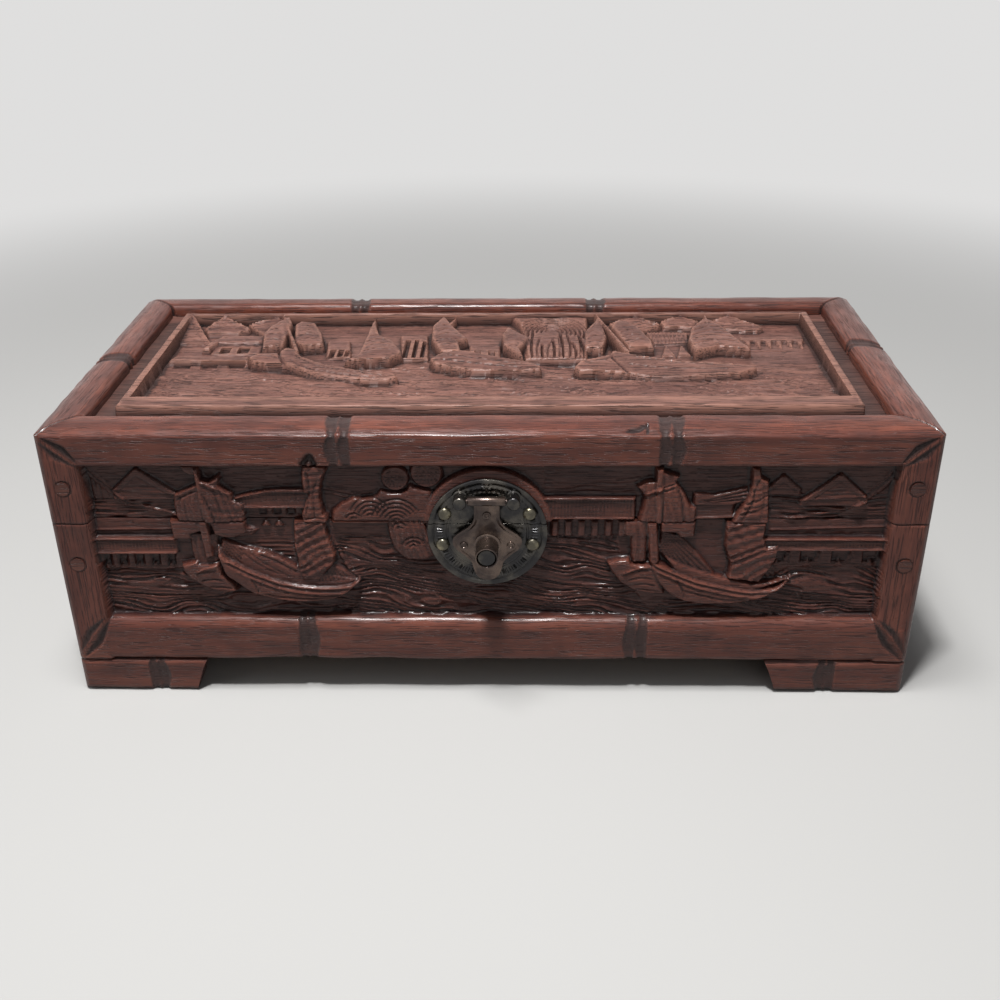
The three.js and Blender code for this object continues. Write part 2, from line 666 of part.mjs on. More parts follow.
// A whole wall from the feet to the lid top, standing at the front, before the box is sawn.
function wholeWall(side) {
  const outer = -side.reach;
  const inner = outer + WALL_THICKNESS;
  const ground = outer + CARVING_DEPTH;
  const railLow = BOX_HEIGHT - TOP_RAIL_HEIGHT;
  const slab = block(-side.half, side.half, ground, inner, FOOT_HEIGHT, railLow + TOP_RAIL_HEIGHT / 2);
  const topRail = bambooBar(
    -side.half, side.half, railSection(outer, inner, railLow, BOX_HEIGHT, TOP_RAIL_ROUNDING), side.topNodes,
  );
  const bottomRail = bambooBar(
    -side.half, side.half,
    railSection(outer, inner, FOOT_HEIGHT, FOOT_HEIGHT + BOTTOM_RAIL_HEIGHT, BOTTOM_RAIL_ROUNDING),
    side.bottomNodes,
  );
  const figures = side.carving.map((figure) => {
    const geometry = figureGeometry(figure);
    geometry.rotateX(Math.PI / 2);
    geometry.translate(0, ground, SAW_HEIGHT);
    return solidOf(geometry);
  });
  const body = joined([
    slab, topRail, bottomRail, cornerPost(side, -1), cornerPost(side, 1), ...figures,
  ]);
  const mitres = [-1, 1].flatMap((hand) => [
    mitreCut(side, hand, BOX_HEIGHT, railLow),
    mitreCut(side, hand, FOOT_HEIGHT, FOOT_HEIGHT + BOTTOM_RAIL_HEIGHT),
  ]);
  return cut(body, mitres).intersect(mitreWedge(side)).intersect(roundedBlock(side));
}

function turnedTo(solid, turn) {
  const geometry = geometryOf(solid);
  geometry.rotateZ(turn);
  return solidOf(geometry);
}

// What is cut out of the walls once the box is put together.
const panelRoom = block(
  -HALF_LENGTH + WALL_THICKNESS - PANEL_GROOVE - JOINT_GAP,
  HALF_LENGTH - WALL_THICKNESS + PANEL_GROOVE + JOINT_GAP,
  -HALF_DEPTH + WALL_THICKNESS - PANEL_GROOVE - JOINT_GAP,
  HALF_DEPTH - WALL_THICKNESS + PANEL_GROOVE + JOINT_GAP,
  PANEL_UNDERSIDE - JOINT_GAP / 2,
  PANEL_LEDGE + JOINT_GAP / 2,
);
const bottomRoom = block(
  -HALF_LENGTH + WALL_THICKNESS - BOTTOM_REBATE,
  HALF_LENGTH - WALL_THICKNESS + BOTTOM_REBATE,
  -HALF_DEPTH + WALL_THICKNESS - BOTTOM_REBATE,
  HALF_DEPTH - WALL_THICKNESS + BOTTOM_REBATE,
  FOOT_HEIGHT - 1,
  FOOT_HEIGHT + BOTTOM_THICKNESS + JOINT_GAP,
);

// Bevels behind the hinge line: they meet when the lid is fully open.
const stopRise = (HINGE_PIVOT_INSET + 1) * Math.tan((LID_STOP_DEGREES / 2) * (Math.PI / 180));
const stopBevels = endPrism(
  polygon([
    [PIVOT_Y, SAW_HEIGHT - JOINT_GAP / 2],
    [HALF_DEPTH + 1, SAW_HEIGHT - JOINT_GAP / 2 - stopRise],
    [HALF_DEPTH + 1, SAW_HEIGHT + JOINT_GAP / 2 + stopRise],
    [PIVOT_Y, SAW_HEIGHT + JOINT_GAP / 2],
  ]),
  -HALF_LENGTH - 1,
  HALF_LENGTH + 1,
);

// Corner pegs driven in from the front and the back, through both walls of each corner
const LID_PEG_Z = SAW_HEIGHT + (PANEL_UNDERSIDE - SAW_HEIGHT) * PEG_LID_SHARE;
const PEG_PLACES = [-1, 1].flatMap((ySide) =>
  [-1, 1].flatMap((xSide) => {
    const corner = `${ySide < 0 ? 'front' : 'back'}_${xSide < 0 ? 'left' : 'right'}`;
    const x = xSide * (HALF_LENGTH - PEG_INSET);
    return [
      { name: `base_${corner}_peg`, part: 'base', x, ySide, z: SAW_HEIGHT - PEG_BELOW_SAW },
      { name: `lid_${corner}_peg`, part: 'lid', x, ySide, z: LID_PEG_Z },
    ];
  }),
);
const pegBores = PEG_PLACES.map(({ x, ySide, z }) =>
  rod(
    [x, ySide * (HALF_DEPTH + 1), z],
    [x, ySide * (HALF_DEPTH - PEG_LENGTH - JOINT_GAP), z],
    PEG_RADIUS + JOINT_GAP / 2,
  ),
);

// Hinge knuckles from end to end: the outer two belong to the base leaf, the middle one to the lid leaf.
const HINGE_CENTRES = [
  { name: 'left', x: -HINGE_SPACING / 2 },
  { name: 'right', x: HINGE_SPACING / 2 },
];
const LEAF_INNER_Y = PIVOT_Y - HINGE_LEAF_WIDTH;

function hingeRoom({ x }) {
  const half = HINGE_LENGTH / 2 + JOINT_GAP;
  const leafRoom = block(
    x - half, x + half, LEAF_INNER_Y - JOINT_GAP, PIVOT_Y,
    BASE_TOP - HINGE_LEAF_THICKNESS, LID_BOTTOM + HINGE_LEAF_THICKNESS,
  );
  const knuckleRoom = rod(
    [x - half, PIVOT_Y, SAW_HEIGHT], [x + half, PIVOT_Y, SAW_HEIGHT],
    HINGE_KNUCKLE_RADIUS + JOINT_GAP,
  );
  return leafRoom.add(knuckleRoom);
}

function nailPlaces({ x }) {
  return [-1, 1].map((hand) => x + (hand * NAIL_SPACING) / 2);
}

const NAIL_Y = LEAF_INNER_Y + NAIL_INSET;
const nailBores = HINGE_CENTRES.flatMap((hinge) =>
  nailPlaces(hinge).map((x) =>
    rod(
      [x, NAIL_Y, SAW_HEIGHT - NAIL_LENGTH - 1], [x, NAIL_Y, SAW_HEIGHT + NAIL_LENGTH + 1],
      NAIL_SHANK_RADIUS + METAL_GAP / 2, 8,
    ),
  ),
);

// The plain pads that carry the hinges stand at full height on the back wall's carved ground.
const hingePads = HINGE_CENTRES.map(({ x }) =>
  block(
    x - HINGE_PAD_WIDTH / 2, x + HINGE_PAD_WIDTH / 2,
    HALF_DEPTH - CARVING_DEPTH - 1, HALF_DEPTH,
    SAW_HEIGHT - HINGE_PAD_HEIGHT, SAW_HEIGHT + HINGE_PAD_HEIGHT,
  ),
);

// Lock bores in the front wall: stud shanks, post tenons, the room over the plate, the catch's pocket and
// the plunger's way
const POST_PLACES = [
  { name: 'left_hasp_post', x: -POST_SPACING / 2 },
  { name: 'right_hasp_post', x: POST_SPACING / 2 },
];
const CATCH_BACK_Y = BOSS_FACE_Y + 1.2 + CATCH_THICKNESS;
const lockBores = [
  ...STUD_PLACES.map(({ x, aboveSaw }) =>
    rod(
      [x, BOSS_FACE_Y - 1, SAW_HEIGHT + aboveSaw],
      [x, PLATE_FACE_Y + STUD_SHANK_LENGTH + METAL_GAP, SAW_HEIGHT + aboveSaw],
      STUD_SHANK_RADIUS + METAL_GAP / 2, 8,
    ),
  ),
  ...POST_PLACES.map(({ x }) =>
    rod(
      [x, BOSS_FACE_Y - 1, PIN_Z], [x, PLATE_FACE_Y + POST_TENON_LENGTH + METAL_GAP, PIN_Z],
      POST_TENON_RADIUS + METAL_GAP / 2, 10,
    ),
  ),
  rod([0, -HALF_DEPTH - 1, LOCK_Z], [0, BOSS_FACE_Y, LOCK_Z], PLATE_RADIUS + JOINT_GAP, 36),
  rod([0, BOSS_FACE_Y - 1, BARREL_Z], [0, CATCH_BACK_Y + METAL_GAP, BARREL_Z], CATCH_RADIUS + METAL_GAP, 14),
  rod(
    [0, BOSS_FACE_Y, BARREL_Z], [0, CATCH_BACK_Y + PLUNGER_TRAVEL, BARREL_Z],
    PLUNGER_STEM_RADIUS + PLUNGER_STEM_ROOM, 12,
  ),
];

function finished(solid, material) {
  return new THREE.Mesh(geometryOf(solid), material);
}

function named(mesh, name) {
  mesh.name = name;
  return mesh;
}

// Walls, sawn into base and lid
const belowSaw = block(-200, 200, -200, 200, -1, BASE_TOP);
const aboveSaw = block(-200, 200, -200, 200, LID_BOTTOM, BOX_HEIGHT + 1);

const base = new THREE.Group();
const lid = new THREE.Group();

for (const side of SIDES) {
  let wall = turnedTo(wholeWall(side), side.turn);
  if (side.name === 'back') wall = joined([wall, ...hingePads]);
  wall = cut(wall, [panelRoom, bottomRoom, stopBevels, ...pegBores]);
  if (side.name === 'back') wall = cut(wall, [...HINGE_CENTRES.map(hingeRoom), ...nailBores]);
  if (side.name === 'front') wall = cut(wall, lockBores);
  base.add(named(finished(wall.intersect(belowSaw), RED_WOOD), `base_${side.name}_wall`));
  lid.add(named(finished(wall.intersect(aboveSaw), RED_WOOD), `lid_${side.name}_wall`));
}

// Bottom board, up in the rebate of the walls
const bottomBoard = block(
  -HALF_LENGTH + WALL_THICKNESS - BOTTOM_REBATE + JOINT_GAP,
  HALF_LENGTH - WALL_THICKNESS + BOTTOM_REBATE - JOINT_GAP,
  -HALF_DEPTH + WALL_THICKNESS - BOTTOM_REBATE + JOINT_GAP,
  HALF_DEPTH - WALL_THICKNESS + BOTTOM_REBATE - JOINT_GAP,
  FOOT_HEIGHT,
  FOOT_HEIGHT + BOTTOM_THICKNESS,
);
base.add(named(finished(bottomBoard, PALE_WOOD), 'bottom_board'));

// Feet: two mitred bracket blocks at each corner, their free ends cut in a hollow
function footBlock(side, hand, length) {
  const outer = -side.reach;
  const section = railSection(outer, outer + FOOT_THICKNESS, 0, FOOT_HEIGHT, FOOT_ROUNDING);
  const xOuter = hand * side.half;
  const xInner = hand * (side.half - length);
  const bar = bambooBar(
    Math.min(xOuter, xInner), Math.max(xOuter, xInner), section,
    side.half > side.reach ? [hand * (side.half - FOOT_NODE)] : [],
  );
  const hollow = new THREE.Shape();
  hollow.moveTo(xInner, FOOT_HEIGHT + 1);
  hollow.quadraticCurveTo(
    xInner + hand * FOOT_UNDERCUT, FOOT_HEIGHT * 0.7, xInner + hand * FOOT_UNDERCUT, -1,
  );
  hollow.lineTo(xInner - hand * 10, -1);
  hollow.lineTo(xInner - hand * 10, FOOT_HEIGHT + 1);
  const points = hollow.getPoints(3).map((p) => [p.x, p.y]);
  if (hand < 0) points.reverse();
  const hollowCut = frontPrism(polygon(points), outer - 1, outer + FOOT_THICKNESS + 1);
  const footOnly = bar.subtract(hollowCut).intersect(mitreWedge(side)).intersect(roundedBlock(side));
  return turnedTo(footOnly, side.turn);
}

const FOOT_PLACES = [
  ['front', -1, 'front_left_foot_front', FOOT_FRONT_LEFT_LENGTH],
  ['front', 1, 'front_right_foot_front', FOOT_FRONT_RIGHT_LENGTH],
  ['right', -1, 'front_right_foot_side', FOOT_SIDE_LENGTH],
  ['right', 1, 'back_right_foot_side', FOOT_SIDE_LENGTH],
  ['back', -1, 'back_right_foot_back', FOOT_BACK_LENGTH],
  ['back', 1, 'back_left_foot_back', FOOT_BACK_LENGTH],
  ['left', -1, 'back_left_foot_side', FOOT_SIDE_LENGTH],
  ['left', 1, 'front_left_foot_side', FOOT_SIDE_LENGTH],
];
for (const [sideName, hand, name, length] of FOOT_PLACES) {
  const side = SIDES.find((one) => one.name === sideName);
  base.add(named(finished(footBlock(side, hand, length), RED_WOOD), name));
}

// Corner pegs, cut flush with the posts
for (const { name, part, x, ySide, z } of PEG_PLACES) {
  const peg = rod([0, 0, 0], [0, 0, PEG_LENGTH], PEG_RADIUS);
  const mesh = named(finished(peg, DARK_WOOD), name);
  mesh.rotation.x = (ySide * Math.PI) / 2;
  mesh.position.set(x, ySide * HALF_DEPTH, z);
  (part === 'base' ? base : lid).add(mesh);
}

// Lid panel: a tongue all round in the wall grooves, a sunk ledge, a raised frame and the carved field
const ledgeX = HALF_LENGTH - WALL_THICKNESS - LEDGE_WIDTH;
const ledgeY = HALF_DEPTH - WALL_THICKNESS - LEDGE_WIDTH;
const panelBoard = block(
  -HALF_LENGTH + WALL_THICKNESS - PANEL_GROOVE, HALF_LENGTH - WALL_THICKNESS + PANEL_GROOVE,
  -HALF_DEPTH + WALL_THICKNESS - PANEL_GROOVE, HALF_DEPTH - WALL_THICKNESS + PANEL_GROOVE,
  PANEL_UNDERSIDE, PANEL_LEDGE,
);
const frameBlock = block(-ledgeX, ledgeX, -ledgeY, ledgeY, PANEL_LEDGE - 1, PANEL_FRAME_TOP);
const field = block(
  -ledgeX + FRAME_SIDE_WIDTH, ledgeX - FRAME_SIDE_WIDTH,
  -ledgeY + FRAME_FRONT_WIDTH, ledgeY - FRAME_BACK_WIDTH,
  PANEL_GROUND, PANEL_FRAME_TOP + 1,
);
const fieldEdge = block(
  -ledgeX + FRAME_SIDE_WIDTH / 2, ledgeX - FRAME_SIDE_WIDTH / 2,
  -ledgeY + FRAME_FRONT_WIDTH / 2, ledgeY - FRAME_BACK_WIDTH / 2,
  PANEL_GROUND - 2, PANEL_FRAME_TOP,
);
const panelFigures = LID_CARVING.map((figure) => {
  const geometry = figureGeometry(figure);
  geometry.translate(0, 0, PANEL_GROUND);
  return solidOf(geometry).intersect(fieldEdge);
});
const lidPanel = joined([panelBoard.add(frameBlock).subtract(field), ...panelFigures]);
lid.add(named(finished(lidPanel, RED_WOOD), 'lid_top_panel'));

// Lock plate: one turned disc with a raised rim, sawn in two with the box
const plateDisc = turned(
  [
    [0, 0],
    [PLATE_RADIUS, 0],
    [PLATE_RADIUS, PLATE_THICKNESS + PLATE_RIM_RISE],
    [PLATE_RADIUS - PLATE_RIM_WIDTH, PLATE_THICKNESS + PLATE_RIM_RISE],
    [PLATE_RADIUS - PLATE_RIM_WIDTH - PLATE_RIM_RISE, PLATE_THICKNESS],
    [0, PLATE_THICKNESS],
  ],
  40,
);
const discGeometry = geometryOf(plateDisc);
discGeometry.rotateX(Math.PI / 2);
discGeometry.translate(0, BOSS_FACE_Y, LOCK_Z);
const plateHoles = [
  ...STUD_PLACES.map(({ x, aboveSaw }) =>
    rod(
      [x, PLATE_FACE_Y - 1, SAW_HEIGHT + aboveSaw], [x, BOSS_FACE_Y + 1, SAW_HEIGHT + aboveSaw],
      STUD_SHANK_RADIUS + METAL_GAP, 8,
    ),
  ),
  ...POST_PLACES.map(({ x }) =>
    rod([x, PLATE_FACE_Y - 1, PIN_Z], [x, BOSS_FACE_Y + 1, PIN_Z], POST_TENON_RADIUS + METAL_GAP, 10),
  ),
  rod(
    [0, PLATE_FACE_Y - 1, BARREL_Z], [0, BOSS_FACE_Y + 1, BARREL_Z],
    PLUNGER_STEM_RADIUS + 2 * METAL_GAP, 16,
  ),
];
const leafZ = LOCK_Z + PLATE_RADIUS - PLATE_RIM_WIDTH - LEAF_HEIGHT;
const leafOutline = new THREE.Shape();
leafOutline.moveTo(0, leafZ);
leafOutline.quadraticCurveTo(LEAF_HEIGHT * 0.8, leafZ + LEAF_HEIGHT * 0.4, 0, leafZ + LEAF_HEIGHT);
leafOutline.quadraticCurveTo(-LEAF_HEIGHT * 0.8, leafZ + LEAF_HEIGHT * 0.4, 0, leafZ);
const leafRelief = frontPrism(leafOutline, PLATE_FACE_Y - LEAF_RISE, PLATE_FACE_Y + 0.3, 4);
const lockPlate = cut(solidOf(discGeometry), plateHoles);
lid.add(named(finished(lockPlate.intersect(aboveSaw).add(leafRelief), DARK_BRASS), 'upper_lock_plate'));
base.add(named(finished(lockPlate.intersect(belowSaw), DARK_BRASS), 'lower_lock_plate'));

// A turned piece of the lock, with its foot on a plane of the front and its axis pointing out
function frontPiece(solid, material, name, x, y, z) {
  const mesh = named(finished(solid, material), name);
  mesh.rotation.x = Math.PI / 2;
  mesh.position.set(x, y, z);
  return mesh;
}

// Domed studs, each with a shank in the wood
const studSolid = turned([
  [0, -STUD_SHANK_LENGTH],
  [STUD_SHANK_RADIUS, -STUD_SHANK_LENGTH],
  [STUD_SHANK_RADIUS, 0],
  [STUD_RADIUS, 0],
  [STUD_RADIUS * 0.94, STUD_RISE * 0.4],
  [STUD_RADIUS * 0.7, STUD_RISE * 0.78],
  [STUD_RADIUS * 0.36, STUD_RISE * 0.96],
  [0, STUD_RISE],
], 10);
for (const { name, x, aboveSaw: height } of STUD_PLACES) {
  const stud = frontPiece(studSolid, DARK_BRASS, name, x, PLATE_FACE_Y, SAW_HEIGHT + height);
  (height > 0 ? lid : base).add(stud);
}

// Hasp posts: tenoned through the plate, bored across for the pin
const POST_BORE_DEPTH = POST_RADIUS + 0.4;
for (const { name, x } of POST_PLACES) {
  const inward = -Math.sign(x);
  const post = turned([
    [0, -POST_TENON_LENGTH],
    [POST_TENON_RADIUS, -POST_TENON_LENGTH],
    [POST_TENON_RADIUS, 0],
    [POST_COLLAR_RADIUS, 0],
    [POST_COLLAR_RADIUS, POST_COLLAR_RISE],
    [POST_RADIUS, POST_COLLAR_RISE + 0.3],
    [POST_RADIUS, POST_RISE - 0.5],
    [POST_RADIUS - 0.5, POST_RISE],
    [0, POST_RISE],
  ], 12);
  const bore = rod(
    [inward * (POST_RADIUS + 1), 0, HASP_PIN_STANDOFF],
    [inward * (POST_RADIUS - POST_BORE_DEPTH), 0, HASP_PIN_STANDOFF],
    HASP_PIN_RADIUS + METAL_GAP / 2, 12,
  );
  lid.add(frontPiece(post.subtract(bore), DARK_BRASS, name, x, PLATE_FACE_Y, PIN_Z));
}

// Hasp pin, from post to post
const pinHalf = POST_SPACING / 2 - POST_RADIUS + POST_BORE_DEPTH - JOINT_GAP;
const pinSolid = rod([-pinHalf, 0, 0], [pinHalf, 0, 0], HASP_PIN_RADIUS, 12);
const pinMesh = named(finished(pinSolid, DARK_BRASS), 'hasp_pin');
pinMesh.position.set(0, PIN_Y, PIN_Z);
lid.add(pinMesh);

// The hasp group hangs on the pin axis: its x, y and z are measured from there
const hasp = new THREE.Group();
hasp.position.set(0, PIN_Y, PIN_Z);
lid.add(hasp);

const haspBack = HASP_BACK_Y - PIN_Y;
const haspFront = HASP_FRONT_Y - PIN_Y;
const neck = HASP_NECK_WIDTH / 2;
const haspRight = [
  [[neck, -7.1]],
  [[5.3, -9.9], [8.2, -11.1]],
  [[12.2, -13.1], [11.9, -16.9]],
  [[11.4, -19.7], [8.6, -21.5]],
  [[5.6, -25.2]],
  [[5, -HASP_REACH + 1.4], [0, -HASP_REACH]],
];
const haspOutline = new THREE.Shape();
haspOutline.moveTo(0, 0);
haspOutline.lineTo(neck, 0);
for (const [control, end] of haspRight) {
  if (end) haspOutline.quadraticCurveTo(...control, ...end);
  else haspOutline.lineTo(...control);
}
const rightPoints = haspOutline.getPoints(4);
const leftPoints = rightPoints.slice(1, -1).reverse().map((p) => new THREE.Vector2(-p.x, p.y));
const haspPlate = frontPrism(new THREE.Shape([...rightPoints, ...leftPoints]), haspFront, haspBack);
const knuckleHalf = POST_SPACING / 2 - POST_RADIUS - JOINT_GAP;
const knuckle = rod([-knuckleHalf, 0, 0], [knuckleHalf, 0, 0], KNUCKLE_RADIUS, 14);
const knuckleBore = rod([-knuckleHalf - 1, 0, 0], [knuckleHalf + 1, 0, 0], HASP_PIN_RADIUS + METAL_GAP, 12);
const RIVET_PLACES = [
  { name: 'top_hasp_rivet', x: 0, z: -TOP_RIVET_DROP },
  { name: 'left_hasp_rivet', x: -SIDE_RIVET_SPACING / 2, z: -BARREL_DROP },
  { name: 'right_hasp_rivet', x: SIDE_RIVET_SPACING / 2, z: -BARREL_DROP },
];
const haspHoles = [
  ...RIVET_PLACES.map(({ x, z }) =>
    rod([x, haspFront - 1, z], [x, haspBack + 1, z], RIVET_SHANK_RADIUS + METAL_GAP / 2, 10),
  ),
  rod(
    [0, haspFront - 1, -BARREL_DROP], [0, haspBack + 1, -BARREL_DROP],
    PLUNGER_STEM_RADIUS + METAL_GAP, 12,
  ),
  knuckleBore,
];
hasp.add(named(finished(cut(haspPlate.add(knuckle), haspHoles), HASP_BRASS), 'hasp_plate'));

// Ring rivets through the hasp
const rivetSolid = turned([
  [0, -HASP_THICKNESS],
  [RIVET_SHANK_RADIUS, -HASP_THICKNESS],
  [RIVET_SHANK_RADIUS, 0],
  [RIVET_RADIUS, 0],
  [RIVET_RADIUS, RIVET_RISE * 0.6],
  [RIVET_RADIUS * 0.8, RIVET_RISE],
  [RIVET_DIMPLE_RADIUS, RIVET_RISE],
  [RIVET_DIMPLE_RADIUS * 0.7, RIVET_RISE * 0.4],
  [0, RIVET_RISE * 0.4],
], 10);
for (const { name, x, z } of RIVET_PLACES) {
  hasp.add(frontPiece(rivetSolid, HASP_BRASS, name, x, haspFront, z));
}

// Push barrel with its flange and floor
const stemRoom = PLUNGER_STEM_RADIUS + METAL_GAP;
const barrel = turned([
  [stemRoom, 0],
  [FLANGE_RADIUS, 0],
  [FLANGE_RADIUS, FLANGE_RISE - 0.2],
  [FLANGE_RADIUS - 0.3, FLANGE_RISE],
  [BARREL_RADIUS, FLANGE_RISE],
  [BARREL_RADIUS, BARREL_RISE - 0.3],
  [BARREL_RADIUS - 0.2, BARREL_RISE],
  [BARREL_BORE_RADIUS, BARREL_RISE],
  [BARREL_BORE_RADIUS, BARREL_FLOOR],
  [stemRoom, BARREL_FLOOR],
  [stemRoom, 0],
], 16);
hasp.add(frontPiece(barrel, HASP_BRASS, 'lock_barrel', 0, haspFront, -BARREL_DROP));

// Plunger: a head in the barrel's mouth and a stem that ends level with the hasp's back
const stemLength = HASP_THICKNESS + BARREL_RISE - PLUNGER_SUNK - PLUNGER_HEAD_LENGTH;
const plunger = turned([
  [0, 0],
  [PLUNGER_STEM_RADIUS - 0.3, 0],
  [PLUNGER_STEM_RADIUS, 0.4],
  [PLUNGER_STEM_RADIUS, stemLength],
  [PLUNGER_HEAD_RADIUS, stemLength],
  [PLUNGER_HEAD_RADIUS, stemLength + PLUNGER_HEAD_LENGTH - 0.3],
  [PLUNGER_HEAD_RADIUS - 0.3, stemLength + PLUNGER_HEAD_LENGTH],
  [0, stemLength + PLUNGER_HEAD_LENGTH],
], 16);
hasp.add(frontPiece(plunger, DARK_BRASS, 'lock_plunger', 0, haspBack, -BARREL_DROP));

// Return spring between the barrel's floor and the plunger's head
class Helix extends THREE.Curve {
  constructor(radius, low, high, turns) {
    super();
    Object.assign(this, { radius, low, high, turns });
  }

  getPoint(t) {
    const angle = t * this.turns * Math.PI * 2;
    return new THREE.Vector3(
      this.radius * Math.cos(angle), this.radius * Math.sin(angle), this.low + (this.high - this.low) * t,
    );
  }
}
const springRoom = BARREL_RISE - PLUNGER_SUNK - PLUNGER_HEAD_LENGTH - BARREL_FLOOR;
const springEnd = SPRING_WIRE_RADIUS + JOINT_GAP;
const springWire = new THREE.ExtrudeGeometry(
  polygon([0, 1, 2, 3, 4].map((i) => [
    SPRING_WIRE_RADIUS * Math.cos((i * 2 * Math.PI) / 5),
    SPRING_WIRE_RADIUS * Math.sin((i * 2 * Math.PI) / 5),
  ])),
  {
    steps: SPRING_TURNS * 7,
    extrudePath: new Helix(SPRING_MEAN_RADIUS, springEnd, springRoom - springEnd, SPRING_TURNS),
  },
);
const spring = frontPiece(
  solidOf(springWire), SPRING_STEEL, 'plunger_spring', 0, haspFront - BARREL_FLOOR, -BARREL_DROP,
);
hasp.add(spring);

// Catch plate in its pocket behind the lower lock plate
const catchPlate = turned([
  [PLUNGER_STEM_RADIUS + METAL_GAP, 0],
  [CATCH_RADIUS, 0],
  [CATCH_RADIUS, CATCH_THICKNESS],
  [PLUNGER_STEM_RADIUS + METAL_GAP, CATCH_THICKNESS],
  [PLUNGER_STEM_RADIUS + METAL_GAP, 0],
], 14);
base.add(frontPiece(catchPlate, SPRING_STEEL, 'lock_catch', 0, CATCH_BACK_Y, BARREL_Z));

// Rear hinges
function hingeLeaf(part) {
  const low = part === 'base' ? BASE_TOP - HINGE_LEAF_THICKNESS : LID_BOTTOM;
  const plate = block(
    -HINGE_LENGTH / 2, HINGE_LENGTH / 2, LEAF_INNER_Y - PIVOT_Y, 0,
    low - SAW_HEIGHT, low - SAW_HEIGHT + HINGE_LEAF_THICKNESS,
  );
  const centre = HINGE_CENTRE_KNUCKLE / 2;
  const end = HINGE_LENGTH / 2;
  const beside = centre + JOINT_GAP;
  const spans = part === 'lid' ? [[-centre, centre]] : [[-end, -beside], [beside, end]];
  const others = part === 'lid' ? [[-end - 1, -centre], [centre, end + 1]] : [[-beside, beside]];
  const knuckles = spans.map(([a, b]) => rod([a, 0, 0], [b, 0, 0], HINGE_KNUCKLE_RADIUS));
  const clearances = others.map(([a, b]) => rod([a, 0, 0], [b, 0, 0], HINGE_KNUCKLE_RADIUS + METAL_GAP));
  const bore = rod([-end - 1, 0, 0], [end + 1, 0, 0], HINGE_PIN_RADIUS + METAL_GAP / 2, 10);
  const nailHoles = [-1, 1].flatMap((hand) => {
    const x = (hand * NAIL_SPACING) / 2;
    const y = NAIL_Y - PIVOT_Y;
    const faceZ = part === 'base' ? BASE_TOP - SAW_HEIGHT : LID_BOTTOM - SAW_HEIGHT;
    const into = part === 'base' ? -1 : 1;
    return [
      rod([x, y, -4], [x, y, 4], NAIL_SHANK_RADIUS + METAL_GAP / 2, 6),
      rod(
        [x, y, faceZ - into], [x, y, faceZ + into * NAIL_HEAD_THICKNESS],
        NAIL_HEAD_RADIUS + METAL_GAP / 2, 8,
      ),
    ];
  });
  return cut(joined([cut(plate, clearances), ...knuckles]), [bore, ...nailHoles]);
}

// Nail heads lie level with the leaf's face, where their point is driven away from the saw cut
const nailSolid = turned([
  [0, 0],
  [NAIL_HEAD_RADIUS, 0],
  [NAIL_HEAD_RADIUS, NAIL_HEAD_THICKNESS],
  [NAIL_SHANK_RADIUS, NAIL_HEAD_THICKNESS],
  [NAIL_SHANK_RADIUS * 0.7, NAIL_LENGTH - 1],
  [0, NAIL_LENGTH],
], 6);

for (const hinge of HINGE_CENTRES) {
  for (const part of ['base', 'lid']) {
    const group = part === 'base' ? base : lid;
    const leaf = named(finished(hingeLeaf(part), DARK_BRASS), `${hinge.name}_hinge_${part}_leaf`);
    leaf.position.set(hinge.x, PIVOT_Y, SAW_HEIGHT);
    group.add(leaf);
    nailPlaces(hinge).forEach((x, i) => {
      const nail = named(finished(nailSolid, DARK_BRASS), `${hinge.name}_hinge_${part}_nail_${i + 1}`);
      nail.rotation.x = part === 'base' ? Math.PI : 0;
      nail.position.set(x, NAIL_Y, part === 'base' ? BASE_TOP : LID_BOTTOM);
      group.add(nail);
    });
  }
  const hingePin = named(
    finished(rod([-HINGE_LENGTH / 2, 0, 0], [HINGE_LENGTH / 2, 0, 0], HINGE_PIN_RADIUS, 10), DARK_BRASS),
    `${hinge.name}_hinge_pin`,
  );
  hingePin.position.set(hinge.x, PIVOT_Y, SAW_HEIGHT);
  base.add(hingePin);
}

// The whole box, set back so that the lock's overhang is shared between front and back
const box = new THREE.Group();
box.add(base, lid);
box.position.y = LOCK_OVERHANG / 2;

export default box;
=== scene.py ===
"""A carved hardwood treasure box with bamboo rails, harbour scenes and a round brass lock.

Sizes are millimetres in the part's own frame: X along the front, Y to the back, Z up. Meshes are made in
metres. The carved walls, feet and lid panel are cut from fine sheets of heights, because no operator carves
waves and hatching; the plate and the hasp are made the same way, then sawn and bored, and the other metal
pieces are spun.
"""

import logging
import math
import random
from dataclasses import dataclass, field
from enum import Enum
from typing import Callable, Iterable, Sequence

import bpy
import numpy as np
from mathutils import Matrix, Vector

